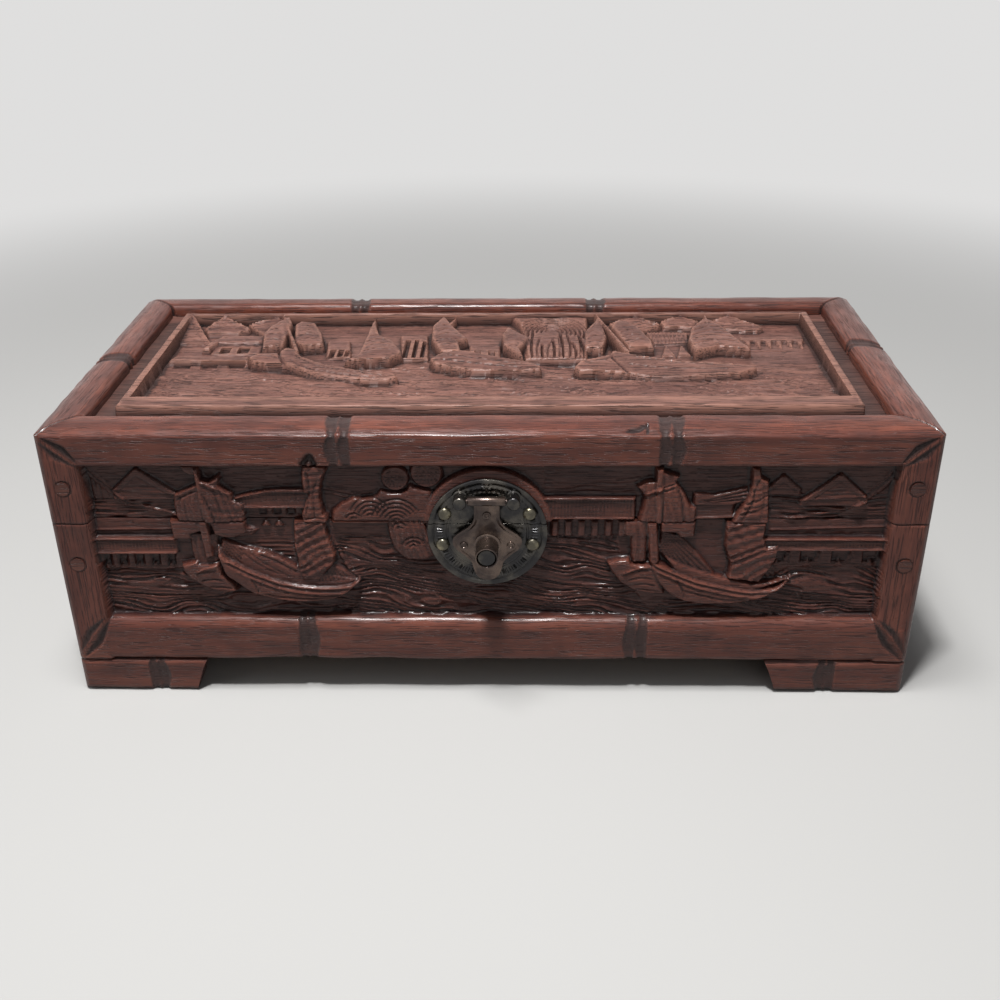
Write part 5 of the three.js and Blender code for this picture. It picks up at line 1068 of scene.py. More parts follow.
@dataclass
class SweptPiece:
    """A length of wood with one section, its relief, and an end cut at each side."""

    name: str
    case: Case
    side: Side
    section: Section
    relief: Relief
    ends: tuple[Cut, Cut]
    keep: tuple[float, float]
    upright: Cut
    shape_rows: Callable[[Array, Array, Array], tuple[Array, Array]] | None = None
    corner_radius: float = 3.6

    def build(self) -> Piece:
        """Makes the piece's closed mesh with its grain, wear, stains and the painted shade of its hollows.
        """
        section, relief = self.section, self.relief
        rows, columns = len(section.depth), len(relief.across)
        plain = rows - section.carved
        heights = np.vstack([relief.height, np.zeros((plain, columns))])
        depth = np.array(section.depth)[:, None] + heights * np.array(section.out_depth)[:, None]
        up = np.array(section.up)[:, None] + heights * np.array(section.out_up)[:, None]
        x = np.tile(relief.across, (rows, 1))
        if self.shape_rows:
            depth, up = self.shape_rows(x, depth, up)
        x = self._trim(x, depth, up)
        x, depth = self._round_corners(x, depth)
        points = self.case.place(self.side, x, depth, up)
        item = mesh_object(self.name, points, self._faces(rows, columns))
        self._mark_sharp(item, columns)
        run = np.tile(np.array(section.run)[:, None], (1, columns))
        post = self.upright(x, run)
        along = np.where(post, run, x) + 400 * self.side.turn / 90
        over = np.where(post, x, run)
        give_vectors(item, "grain", np.stack([along, over, depth], axis=-1) * MM)
        # The hollow layer is dirt and painted shade; the others are wear and stains.
        wear_and_shade = relief.worn()
        bare = np.zeros((plain, columns, 3))
        give_vectors(item, "wear_and_shade", np.vstack([wear_and_shade, bare]))
        return item

    def _trim(self, x: Array, depth: Array, up: Array) -> Array:
        """Draws the two end zones in to the piece's end cuts."""
        low_keep, high_keep = self.keep
        low_end, high_end = self.relief.across[0], self.relief.across[-1]
        t = unit((low_keep - x) / (low_keep - low_end))
        x = np.where(x < low_keep, low_keep + t * (self.ends[0](depth, up) - low_keep), x)
        t = unit((x - high_keep) / (high_end - high_keep))
        return np.where(x > high_keep, high_keep + t * (self.ends[1](depth, up) - high_keep), x)

    def _round_corners(self, x: Array, depth: Array) -> tuple[Array, Array]:
        """Draws points in to the rounded upright edges of the box."""
        radius = self.corner_radius
        middle = self.case.half(self.side) - radius
        beside, before = np.abs(x) - middle, radius - depth
        away = np.hypot(beside, before)
        out = (beside > 0) & (before > 0) & (away > radius)
        pull = np.where(out, radius / np.maximum(away, 1e-9), 1.0)
        x = np.where(out, np.sign(x) * (middle + beside * pull), x)
        return x, np.where(out, radius - before * pull, depth)

    def _faces(self, rows: int, columns: int) -> list[Sequence[int]]:
        """Lists the faces of the tube and of its two ends."""
        row, column = np.meshgrid(np.arange(rows), np.arange(columns - 1), indexing="ij")
        here = row * columns + column
        over = ((row + 1) % rows) * columns + column
        quads = np.stack([here, over, over + 1, here + 1], axis=-1).reshape(-1, 4)
        start = [r * columns for r in range(rows)]
        end = [r * columns + columns - 1 for r in reversed(range(rows))]
        return [*quads.tolist(), start, end]

    def _mark_sharp(self, item: Piece, columns: int) -> None:
        """Smooths the piece but keeps its arrises and end edges crisp."""
        mesh = item.data
        mesh.polygons.foreach_set("use_smooth", np.ones(len(mesh.polygons), bool))
        ends = np.empty(len(mesh.edges) * 2, int)
        mesh.edges.foreach_get("vertices", ends)
        first, second = ends.reshape(-1, 2).T
        rows = np.isin(first // columns, list(self.section.sharp)) & (first // columns == second // columns)
        caps = (first % columns == second % columns) & np.isin(first % columns, (0, columns - 1))
        layer = mesh.attributes.new("sharp_edge", "BOOLEAN", "EDGE")
        layer.data.foreach_set("value", rows | caps)


@dataclass(frozen=True)
class Bamboo:
    """How the bamboo rails are shaped, in mm."""

    post: float = 13.5
    top_rail: float = 13.8
    bottom_rail: float = 17.8
    ground: float = -5.0
    node_scoop: float = 0.75

    def rail(self, sheet: Relief, low: float, high: float, rolls: tuple[float, float],
            nodes: Sequence[Point], seed: int) -> None:
        """Raises a rail over the whole width, with its nodes.

        Args:
            sheet: The sheet it is carved in.
            low: Its lower edge on the sheet's own scale.
            high: Its upper edge.
            rolls: Radius of the rounding at the lower and at the upper edge, 0 for none.
            nodes: The place of each node along X, and how far its two scoops lie from it.
            seed: Number of its unevenness.
        """
        rows = (sheet.up > low) & (sheet.up <= high + 1e-6)
        x, z = sheet.x[rows], sheet.z[rows]
        uneven = 0.35 * drift(x, z * 0.2, 13, seed)
        value = 0.16 * drift(x, z, 8, seed + 1) - 0.16
        for edge, roll, sign in ((low, rolls[0], 1), (high, rolls[1], -1)):
            if roll:
                t = unit((sign * (z - edge) - uneven - 0.2) / roll)
                value -= roll * fall(t)
        span = unit((z - low) / (high - low))
        for place, spread in nodes:
            bow = 0.35 * np.sin(span * math.pi * 2 + place)
            lens = (0.25 + 0.75 * np.sin(np.clip(span, 0.03, 0.97) * math.pi)) ** 0.5
            for hand in (-1, 1):
                away = np.abs(x - place - bow - hand * spread * 0.9) / (2.4 * lens)
                scoop = unit(1.25 - away * away * 1.25)
                value -= self.node_scoop * scoop
                sheet.stain[rows] = np.maximum(sheet.stain[rows], np.clip(scoop * 2.2, 0, 0.85))
        sheet.height[rows] = np.maximum(sheet.height[rows], value)

    def posts(self, sheet: Relief, half: float, low: float, high: float, seed: int) -> None:
        """Raises the two upright posts of a wall between two heights.

        Args:
            sheet: The sheet.
            half: Half the wall's length.
            low: The lower height.
            high: The upper one.
            seed: Number of their unevenness.
        """
        rows = (sheet.up > low) & (sheet.up < high)
        x, z = sheet.across[None, :], sheet.z[rows]
        inward = np.abs(x) - (half - self.post) + 0.3 * drift(z, x * 0.2, 9, seed)
        t = unit(inward / 2.4)
        value = 0.14 * drift(x + 0 * z, z, 7, seed) - 0.14 - 2.4 * fall(t)
        sheet.height[rows] = np.where(inward > 0, np.maximum(sheet.height[rows], value), sheet.height[rows])

    def mitre_cuts(self, sheet: Relief, half: float, outer: float, inner: float) -> None:
        """Cuts the two leaf-shaped gouges beside each mitre of a rail and the posts.

        Args:
            sheet: The sheet.
            half: Half the wall's length.
            outer: Height of the rail's outer edge.
            inner: Height of its inner edge.
        """
        rise = (inner - outer) / self.post
        for hand in (-1, 1):
            for slip, width, depth in ((-1.5, 3.0, 0.8), (1.4, 3.4, 1.3)):
                path = [(hand * (half - 1.0 - max(slip, 0)), outer + rise * (1.0 + max(-slip, 0))),
                    (hand * (half - self.post * 0.55 - slip), outer + rise * (self.post * 0.55 - slip)),
                    (hand * (half - self.post + 0.4 - slip * 0.4), inner - rise * (0.4 + slip * 0.4))]
                sheet.cut(path, width, depth, 7, 0.85)

    def is_post(self, half: float, top: float, foot: float) -> Cut:
        """Returns a test for places whose grain stands upright."""

        def test(x: Array, run: Array) -> Array:
            """Tells which places lie between the mitres of a post."""
            edge = np.minimum(1, np.minimum((top - run) / self.top_rail, (run - foot) / self.bottom_rail))
            return (half - np.abs(x)) < self.post * edge

        return test


@dataclass
class Walls:
    """The four carved walls, each sawn into a base wall and a lid wall."""

    case: Case
    bamboo: Bamboo = field(default_factory=Bamboo)
    thickness: float = 14.0
    rail_step: float = 0.55
    mitre_gap: float = 0.21
    end_zone: float = 16.0
    arris: float = 1.6
    face_rise: float = 102.0
    crown_drop: float = 0.2
    inner_radius: float = 3.0
    ledge: float = 100.55
    groove_low: float = 93.35
    groove_depth: float = 8.7
    rebate_depth: float = 8.0
    rebate_top: float = 19.7
    boss_radius: float = 22.3
    boss_centre: float = 67.5
    boss_height: float = 3.0
    barrel_height: float = 62.8
    pivot_inset: float = 2.5
    stop_slope: float = math.tan(math.radians(52))
    peg_place: float = 143.0
    peg_heights: tuple[float, ...] = (53.8, 83.4)
    hinge_places: tuple[float, ...] = (-85.0, 85.0)
    hinge_half: float = 12.3
    hinge_pad: Point = (15.0, 12.8)
    leaf_room: Point = (5.2, 1.25)
    knuckle_room: Point = (2.55, 2.5)
    catch_room: Point = (4.25, 4.25)
    plunger_room: Point = (1.95, 8.0)
    steps: dict[Side, Point] = field(default_factory=lambda: {Side.FRONT: (0.56, 0.28),
        Side.RIGHT: (0.52, 0.34), Side.BACK: (0.64, 0.36), Side.LEFT: (0.52, 0.34)})

    def _columns(self, side: Side, step: float) -> Array:
        """Returns the places of the columns of a side's sheet."""
        half = self.case.half(side)
        return np.linspace(-half, half, 2 * round(half / step) + 1)

    def _mitres(self, side: Side, part: str) -> tuple[Callable, Callable]:
        """Returns the end cuts at the two mitres of a side, sloped at the hinge line as the back is."""
        half = self.case.half(side)
        limit = half - self.mitre_gap
        edge = self.case.base_top if part == "base" else self.case.lid_bottom

        def plain(depth: Array, up: Array) -> Array:
            """Gives the mitre alone."""
            return limit - depth

        def sloped(depth: Array, up: Array) -> Array:
            """Gives the mitre, kept clear of the other wall when the lid is fully open."""
            clear = half - self.pivot_inset - 0.1 + np.abs(up - edge) / self.stop_slope
            return np.minimum(limit - depth, clear)

        low = sloped if side is Side.LEFT else plain
        return (lambda depth, up: -low(depth, up), sloped if side is Side.RIGHT else plain)

    def _piece(self, side: Side, part: str, section: Section, relief: Relief) -> SweptPiece:
        """Gathers what a wall piece is made from.

        Args:
            side: The side.
            part: base or lid.
            section: Its section.
            relief: Its carved sheet.

        Returns:
            The piece.
        """
        half = self.case.half(side)
        return SweptPiece(name=f"carved_{part}_{side.word}_wall", case=self.case, side=side,
            section=section, relief=relief, ends=self._mitres(side, part),
            keep=(-half + self.end_zone, half - self.end_zone),
            upright=self.bamboo.is_post(half, self.case.top, self.case.foot_top),
            shape_rows=(lambda x, d, z: self._hinge_room(x, d, z, part)) if side is Side.BACK else None)

    def build(self, side: Side) -> tuple[Piece, Piece]:
        """Makes a side's base wall and lid wall."""
        across, up = self.steps[side]
        base, lid = self._base_wall(side, across, up), self._lid_wall(side, across, up)
        dress(base, "base", f"base_{side.word}_wall")
        dress(lid, "lid", f"lid_{side.word}_wall")
        return base, lid

    def _base_wall(self, side: Side, across: float, fine: float) -> Piece:
        """Carves the part of a wall below the saw."""
        case, thick = self.case, self.thickness
        rail_top = case.foot_top + self.bamboo.bottom_rail
        section = Section().straight((0, case.foot_top), (0, rail_top - 3), self.rail_step, (-1, 0))
        section.straight((0, rail_top - 3), (0, case.base_top), fine, (-1, 0))
        section.close((thick, case.base_top), (thick, self.rebate_top),
            (self.rebate_depth, self.rebate_top), (self.rebate_depth, case.foot_top))
        relief = Relief(self._columns(side, across), np.array(section.run[: section.carved]),
            self.bamboo.ground)
        self._carve(side, relief)
        half = case.half(side)
        self.bamboo.posts(relief, half, case.foot_top, case.top, 5 + side.turn)
        self.bamboo.rail(relief, case.foot_top - 0.1, rail_top, (2.5, 4.4), side.low_nodes, 6 + side.turn)
        self.bamboo.mitre_cuts(relief, half, case.foot_top, rail_top)
        self._peg_rings(side, relief)
        self._ease_saw(side, relief, case.base_top)
        if side is Side.FRONT:
            self._lock_pocket(relief)
        return self._piece(side, "base", section, relief).build()

    def _lid_wall(self, side: Side, across: float, fine: float) -> Piece:
        """Carves the part of a wall above the saw, with the rail that rolls over the top."""
        case, thick, inner = self.case, self.thickness, self.inner_radius
        rail_low = case.top - self.bamboo.top_rail
        section = Section().straight((0, case.lid_bottom), (0, rail_low + 1.5), fine, (-1, 0))
        section.straight((0, rail_low + 1.5), (0, self.face_rise), self.rail_step, (-1, 0))
        section.arc((self.arris, self.face_rise), self.arris, 180, 112, 0.3)
        crown = case.top - self.crown_drop
        start = (section.depth[-1], section.up[-1])
        section.curve(bend(start, (3.4, crown - 0.75), (6.6, crown - 0.1), (8.6, crown),
            (thick - inner, crown)))
        section.arc((thick - inner, crown - inner), inner, 90, 0, 0.6)
        section.straight((thick, crown - inner), (thick, self.ledge), 0.7, (1, 0))
        section.close((self.groove_depth, self.ledge), (self.groove_depth, self.groove_low),
            (thick, self.groove_low), (thick, case.lid_bottom))
        run = np.array(section.run[: section.carved])
        relief = Relief(self._columns(side, across), run, self.bamboo.ground)
        self._carve(side, relief)
        half = case.half(side)
        face_end = self.face_rise + 1.2
        self.bamboo.posts(relief, half, case.lid_bottom - 1, rail_low + 3, 7 + side.turn)
        self.bamboo.rail(relief, rail_low - 0.3, face_end, (1.1, 0), side.top_nodes, 8 + side.turn)
        self.bamboo.rail(relief, face_end, float(run[-1]), (0, 0), side.top_nodes, 9 + side.turn)
        self.bamboo.mitre_cuts(relief, half, face_end, rail_low)
        self._seams(relief, half, np.array(section.depth[: section.carved])[:, None])
        self._peg_rings(side, relief)
        if side is Side.FRONT:
            self._old_damage(relief)
        self._ease_saw(side, relief, case.lid_bottom)
        return self._piece(side, "lid", section, relief).build()

    def _carve(self, side: Side, relief: Relief) -> None:
        """Cuts a side's scene, with the lock's boss on the front and the hinge pads at the back."""
        side.scene.carve(relief)
        relief.roughen(0.1, 1.6, 90)
        if side is Side.FRONT:
            radius = self.boss_radius if relief.up[0] > self.boss_centre else self.boss_radius - 1.9
            relief.lift(circle(0, self.boss_centre, radius, 72), self.boss_height, 0.9)
        if side is Side.BACK:
            for x in self.hinge_places:
                wide, tall = self.hinge_pad
                pad = rectangle(x - wide, x + wide, self.case.base_top - tall, self.case.lid_bottom + tall)
                relief.lift(pad, -self.bamboo.ground, 0.8)

    def _ease_saw(self, side: Side, relief: Relief, edge: float) -> None:
        """Rubs down the arris that the saw left; the back's slopes, as the two meet when the lid is open.

        Args:
            side: The side.
            relief: Its sheet.
            edge: Height of the sawn edge.
        """
        away = np.abs(relief.z - edge)
        t = unit((away + 0.05) / 0.75)
        relief.height -= 0.5 * fall(t)
        if side is Side.BACK:
            relief.height = np.minimum(relief.height, away / self.stop_slope - self.pivot_inset)

    def _seams(self, relief: Relief, half: float, depth: Array) -> None:
        """Opens the mitres a little on the lid's top, where dirt has darkened them."""
        away = (half - np.abs(relief.x)) / self.end_zone * (self.end_zone - depth)
        seam = unit(1.2 - away / 0.6) * (depth > 0.4)
        relief.height -= 0.6 * seam
        relief.stain = np.maximum(relief.stain, seam)

    def _peg_rings(self, side: Side, relief: Relief) -> None:
        """Clears the wood round the corner pegs, which stand a little proud."""
        if side.long:
            for rise in self.peg_heights:
                away = np.hypot(np.abs(relief.x) - self.peg_place, relief.z - rise)
                relief.height = np.where(away < 2.55, -0.3, relief.height)
                ring = ridge(away - 2.7, 0.45)
                relief.height -= 0.4 * ring
                relief.stain = np.maximum(relief.stain, ring * 0.9)

    def _old_damage(self, relief: Relief) -> None:
        """Cuts the old chip under the front rail and the wedge-shaped gouge on its top edge."""
        relief.cut([(-61.6, 91.6), (-58.6, 95.2), (-57, 91.4)], 3.4, 2.2, 0.8, 1.0)
        relief.cut([(45.4, 104.8), (50, 105.8), (53.6, 109)], 3.0, 1.0, 2.5, 0.9)
        relief.cut([(52.8, 103.6), (53.2, 109.4)], 1.4, 0.8, 0.8, 0.9)

    def _lock_pocket(self, relief: Relief) -> None:
        """Bores the room of the catch plate and of the plunger behind the lower plate."""
        away = np.hypot(relief.x, relief.z - self.barrel_height)
        for radius, depth in (self.catch_room, self.plunger_room):
            relief.height[away < radius] = -depth

    def _hinge_room(self, x: Array, depth: Array, up: Array, part: str) -> tuple[Array, Array]:
        """Lets the hinge leaves and knuckles into the back wall's sawn edge.

        Args:
            x: Places along the wall.
            depth: Places inward.
            up: Heights.
            part: base or lid.

        Returns:
            The new depths and heights.
        """
        edge = self.case.base_top if part == "base" else self.case.lid_bottom
        sign = -1 if part == "base" else 1
        here = np.zeros(x.shape, bool)
        for place in self.hinge_places:
            here |= np.abs(x - place) < self.hinge_half
        rise = (up - edge) * sign
        (inner, floor), (radius, reach) = self.leaf_room, self.knuckle_room
        knuckle = here & (rise < reach) & (depth < inner)
        room = self.pivot_inset + np.sqrt(np.maximum(0, radius**2 - np.maximum(rise, floor) ** 2))
        depth = np.where(knuckle, np.maximum(depth, room), depth)
        up = np.where(here & (rise < floor) & (depth < inner), edge + sign * floor, up)
        return depth, up


def closed_sheet(front: Array, rear: Array) -> tuple[Array, list[Sequence[int]]]:
    """Closes a carved sheet with its back.

    Args:
        front: Places of the sheet's crossings, row by row.
        rear: The same crossings on the back, of which only the edge is used.

    Returns:
        The points and the faces of the closed piece.
    """
    rows, columns = front.shape[:2]
    bottom = list(range(columns))
    right = [r * columns + columns - 1 for r in range(1, rows)]
    top = [(rows - 1) * columns + c for c in reversed(range(columns - 1))]
    left = [r * columns for r in reversed(range(1, rows - 1))]
    ring = [*bottom, *right, *top, *left]
    row, column = np.meshgrid(np.arange(rows - 1), np.arange(columns - 1), indexing="ij")
    here = row * columns + column
    faces = np.stack([here, here + 1, here + columns + 1, here + columns], axis=-1).reshape(-1, 4).tolist()
    count, size = rows * columns, len(ring)
    for i in range(size):
        after = (i + 1) % size
        faces.append((ring[i], count + i, count + after, ring[after]))
    faces.append(tuple(count + i for i in reversed(range(size))))
    return np.vstack([front.reshape(-1, 3), rear.reshape(-1, 3)[ring]]), faces


@dataclass
class LidPanel:
    """The lid's panel: a tongue in the walls' grooves, a sunk ledge, a raised frame and the carved field."""

    case: Case
    reach_x: float = 141.0
    reach_y: float = 61.0
    frame_x: float = 128.5
    frame_y: float = 48.5
    field: tuple[float, float, float, float] = (-125.0, 125.0, -38.5, 46.5)
    underside: float = 93.5
    ledge: float = 100.4
    ground: float = 99.4
    frame_top: float = 104.8

    def _marks(self, low: float, high: float, field_low: float, field_high: float, edge: float,
            step: float) -> Array:
        """Spaces the rows or columns: fine over the field and coarser beyond it.

        Args:
            low: The first place.
            high: The last one.
            field_low: Where the field starts.
            field_high: Where it ends.
            edge: The frame's outer edge.
            step: Distance in the field.

        Returns:
            The places.
        """
        fine = np.linspace(field_low, field_high, round((field_high - field_low) / step) + 1)
        before = np.array([low, -edge - 2.2, -edge - 0.8, -edge - 0.05, -edge + 0.3, -edge + 0.8,
            -edge + 1.4])
        after = np.array([edge - 1.4, edge - 0.8, edge - 0.3, edge + 0.05, edge + 0.8, edge + 2.2, high])
        inner_low = np.linspace(-edge + 1.4, field_low, 5)[1:-1]
        inner_high = np.linspace(field_high, edge - 1.4, 5)[1:-1]
        parts = (before[before < field_low - 0.2], inner_low, fine, inner_high,
            after[after > field_high + 0.2])
        return np.unique(np.concatenate(parts))

    def build(self) -> Piece:
        """Carves the panel and closes it below."""
        x_low, x_high, y_low, y_high = self.field
        across = self._marks(-self.reach_x, self.reach_x, x_low, x_high, self.frame_x, 0.46)
        up = self._marks(-self.reach_y, self.reach_y, y_low, y_high, self.frame_y, 0.68)
        sheet = Relief(across, up, self.ground)
        carve_lid(sheet)
        sheet.roughen(0.12, 1.8, 95)
        self._frame(sheet)
        points = np.stack([sheet.x, sheet.z + self.case.middle, sheet.height], axis=-1)
        below = points.copy()
        below[..., 2] = self.underside
        solid, faces = closed_sheet(points, below)
        item = mesh_object("lid_carved_panel", solid * MM, faces)
        foot = solid[points[..., 0].size :]
        grain = np.stack([sheet.x + 900, sheet.z, sheet.height], axis=-1).reshape(-1, 3)
        give_vectors(item, "grain", np.vstack([grain, foot]) * MM)
        # The hollow layer is dirt and painted shade; the others are wear and stains.
        wear_and_shade = sheet.worn().reshape(-1, 3)
        give_vectors(item, "wear_and_shade", np.vstack([wear_and_shade, np.zeros_like(foot)]))
        smooth_by_angle(item, 50)
        return dress(item, "lid", "lid_top_panel")

    def _frame(self, sheet: Relief) -> None:
        """Leaves the ledge and the raised frame round the field."""
        x_low, x_high, y_low, y_high = self.field
        beyond = np.maximum(np.abs(sheet.x) - x_high, np.maximum(y_low - sheet.z, sheet.z - y_high))
        outside = np.maximum(np.abs(sheet.x) - self.frame_x, np.abs(sheet.z) - self.frame_y)
        t_in = unit(beyond / 1.1)
        t_out = unit(-outside / 1.3)
        top = self.frame_top - 1.1 * fall(t_in) - 1.3 * fall(t_out)
        top += 0.12 * drift(sheet.x, sheet.z, 11, 96) - 0.12
        sheet.height = np.where(beyond > 0, top, sheet.height)
        ledge = self.ledge - 0.08 * (1 + drift(sheet.x, sheet.z, 9, 97))
        sheet.height = np.where(outside > 0, ledge, sheet.height)


@dataclass
class Feet:
    """The four bracket feet, two mitred lengths of bamboo rail to a corner."""

    case: Case
    bamboo: Bamboo = field(default_factory=Bamboo)
    step: float = 0.55
    undercut: float = 5.0
    rise: float = 13.1
    node_place: float = 29.0
    mitre_gap: float = 0.21
    zones: Point = (13.0, 7.0)

    def build(self, corner: str, side: Side) -> Piece:
        """Makes one length of a foot.

        Args:
            corner: The corner's word, such as front_left.
            side: The side that the length lies on.

        Returns:
            The length, which replaces its node.
        """
        node = f"{corner}_foot_{side.word if side.long else 'side'}"
        low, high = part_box(node)
        size = (high - low) / MM
        length = size.x if side.long else size.y
        thick = size.y if side.long else size.x
        top = high.z / MM
        hand = self._hand(side, (low + high) / 2 / MM)
        half = self.case.half(side)
        section = Section().straight((0, 0), (0, top), self.step, (-1, 0))
        section.close((thick, top), (thick, 0))
        columns = np.linspace(half - length, half, round(length / self.step) + 1) * hand
        relief = Relief(np.sort(columns), np.array(section.run[: section.carved]), self.bamboo.ground)
        node_at = hand * (half - self.node_place)
        self.bamboo.rail(relief, -0.01, top, (2.0, 1.5), ((node_at, 1.75),), 200 + side.turn + round(hand))
        mitre = half - self.mitre_gap
        ends = (lambda depth, up: depth - mitre if hand < 0 else self._foot_end(half - length, up, 1),
            lambda depth, up: mitre - depth if hand > 0 else self._foot_end(length - half, up, -1))
        mitred, free = self.zones
        low_x, high_x = float(relief.across[0]), float(relief.across[-1])
        keep = (low_x + (mitred if hand < 0 else free), high_x - (mitred if hand > 0 else free))
        item = SweptPiece(name=f"bamboo_{node}", case=self.case, side=side, section=section, relief=relief,
            ends=ends, keep=keep, upright=lambda x, run: np.zeros(x.shape, bool)).build()
        return dress(item, "base", node)

    def _hand(self, side: Side, centre: Vector) -> int:
        """Tells on which hand of a side a foot lies, seen from outside."""
        turn = math.radians(side.turn)
        along = centre.x * math.cos(turn) + (centre.y - self.case.middle) * math.sin(turn)
        return 1 if along > 0 else -1

    def _foot_end(self, end: float, up: Array, sign: int) -> Array:
        """Slopes the free end of a foot inward towards the floor."""
        share = unit(1 - up / self.rise)
        return end + sign * self.undercut * share**0.8


# Metal work


def select(*items: Piece) -> None:
    """Selects some pieces alone, or none, and makes the first one active."""
    bpy.ops.object.select_all(action="DESELECT")
    for item in items:
        item.select_set(True)
        bpy.context.view_layer.objects.active = items[0]


def edit(item: Piece) -> None:
    """Selects one piece alone and enters edit mode with all of it selected."""
    select(item)
    bpy.ops.object.mode_set(mode="EDIT")
    bpy.ops.mesh.select_all(action="SELECT")


def leave_edit() -> None:
    """Returns to object mode."""
    bpy.ops.object.mode_set(mode="OBJECT")


def smooth_by_angle(item: Piece, degrees: float) -> None:
    """Shades a piece smooth up to an angle between its faces."""
    select(item)
    bpy.ops.object.shade_smooth_by_angle(angle=math.radians(degrees))


def face_outward(item: Piece) -> None:
    """Merges a piece's doubles and turns its faces outward."""
    edit(item)
    bpy.ops.mesh.remove_doubles(threshold=0.00001)
    bpy.ops.mesh.normals_make_consistent(inside=False)
    leave_edit()


def turned(name: str, profile: Outline, centre: Place, steps: int = 40) -> Piece:
    """Turns a closed round piece about an axis that points out of the front.

    Args:
        name: The piece's name.
        profile: Pairs of radius and distance outward from the centre, from one end of the axis to the other.
        centre: Where the axis starts, in mm.
        steps: Number of facets round.

    Returns:
        The piece.
    """
    x, y, z = centre
    points = np.array([(x + radius, y - out, z) for radius, out in profile]) * MM
    item = mesh_object(name, points, [])
    item.data.edges.add(len(profile) - 1)
    item.data.edges.foreach_set("vertices", [n for i in range(len(profile) - 1) for n in (i, i + 1)])
    item.data.update()
    edit(item)
    bpy.ops.mesh.spin(steps=steps, angle=2 * math.pi, center=(x * MM, y * MM, z * MM), axis=(0, 1, 0),
        use_auto_merge=True)
    leave_edit()
    face_outward(item)
    smooth_by_angle(item, 40)
    return item


def bored(item: Piece, centre: Place, radius: float) -> None:
    """Bores a hole through a piece from the front.

    Args:
        item: The piece.
        centre: A point on the bore's axis, in mm.
        radius: The bore's radius, in mm.
    """
    select()
    place = [value * MM for value in centre]
    bpy.ops.mesh.primitive_cylinder_add(vertices=32, radius=radius * MM, depth=12 * MM, location=place,
        rotation=(math.pi / 2, 0, 0))
    drill = bpy.context.object
    modifier = item.modifiers.new("Bore", "BOOLEAN")
    modifier.operation = "DIFFERENCE"
    modifier.solver = "EXACT"
    modifier.object = drill
    select(item)
    bpy.ops.object.modifier_apply(modifier=modifier.name)
    bpy.data.objects.remove(drill)


def dress(item: Piece, body: str, node: str) -> Piece:
    """Hides the node that a piece replaces, hangs the piece on its body, and returns it."""
    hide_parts(node)
    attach(item, body)
    return item


@dataclass
class LockPlate:
    """The round plate, turned and chased as one and sawn in two with the box."""

    centre: Place
    saw: tuple[float, float]
    radius: float = 20.5
    face: float = 1.0
    rim: float = 0.35
    rings: int = 84
    sectors: int = 300
    stem: Point = (62.8, 1.7)

    def build(self) -> tuple[Piece, Piece]:
        """Makes the upper and the lower half."""
        radii = np.linspace(0, self.radius, self.rings)[1:]
        turns = np.linspace(0, 2 * math.pi, self.sectors, endpoint=False)
        radius, turn = np.meshgrid(radii, turns, indexing="ij")
        height = self._chasing(radius, turn)
        x, y, z = self.centre
        face = np.stack([x + radius * np.cos(turn), y - height, z + radius * np.sin(turn)], axis=-1)
        hub = np.array([[x, y - self.face, z]])
        rear = np.stack([face[-1, :, 0], np.full(self.sectors, y), face[-1, :, 2]], axis=-1)
        points = np.vstack([hub, face.reshape(-1, 3), rear]) * MM
        count = self.sectors
        faces: list[Sequence[int]] = []
        for i in range(count):
            after = (i + 1) % count
            faces.append((0, 1 + i, 1 + after))
            for ring in range(len(radii)):
                start, over = 1 + ring * count, 1 + (ring + 1) * count
                faces.append((start + i, over + i, over + after, start + after))
        faces.append(tuple(1 + len(radii) * count + i for i in reversed(range(count))))
        halves = []
        for word, level, outer in (("upper", self.saw[1], False), ("lower", self.saw[0], True)):
            item = mesh_object(f"chased_{word}_lock_plate", points, faces)
            edit(item)
            bpy.ops.mesh.bisect(plane_co=(0, 0, level * MM), plane_no=(0, 0, 1), use_fill=True,
                clear_outer=outer, clear_inner=not outer)
            leave_edit()
            if outer:
                bored(item, (x, y, self.stem[0]), self.stem[1])
            smooth_by_angle(item, 38)
            body = "lid" if word == "upper" else "base"
            halves.append(dress(item, body, f"{word}_lock_plate"))
        return halves[0], halves[1]

    def _chasing(self, radius: Array, turn: Array) -> Array:
        """Gives the height of the plate's face: its rolled rim, ticks, dashes and punched leaves.

        Args:
            radius: Distance of each place from the centre.
            turn: Its angle.

        Returns:
            The heights.
        """
        degrees = np.degrees(turn) % 360
        face = np.full(radius.shape, self.face)
        rim = ridge(radius - self.radius + 0.75, 0.75)
        face += self.rim * np.sqrt(rim * (2 - rim))
        face -= 0.35 * ridge(radius - self.radius + 2.1, 0.35)
        upper = unit((degrees > 28) & (degrees < 152))
        tick = unit(1.3 - np.abs((turn * 92 / (2 * math.pi)) % 1 - 0.5) * 3.6)
        band = ridge(radius - self.radius + 4.2, 0.85, 2.0)
        face += 0.45 * tick * band * (1 - upper)
        dash = unit(1.5 - np.abs((turn * 60 / (2 * math.pi)) % 1 - 0.5) * 3.2)
        for place in (3.1, 5.0):
            row = ridge(radius - self.radius + place, 0.4, 1.3)
            face += 0.3 * dash * row * upper
        for place, width in ((6.5, 0.3), (7.3, 0.25)):
            face -= 0.22 * ridge(radius - self.radius + place, width) * (1 - upper * 0.5)
        x, z = radius * np.cos(turn), radius * np.sin(turn)
        petals = unit(1.1 - np.abs((turn * 24 / (2 * math.pi)) % 1 - 0.5) * 2.6)
        inner = ridge(radius - 11.6, 1.5, 1.2)
        face -= 0.26 * petals * inner
        leaf = unit(1.2 - np.hypot(x / 2.3, (z - 18.0) / 1.9))
        vein = np.abs(np.abs(x) - (z - 16.6) * 0.6) < 0.3
        face += leaf * np.where(vein, 0.15, 0.6)
        return face - 0.05 * drift(x, z, 1.4, 120)


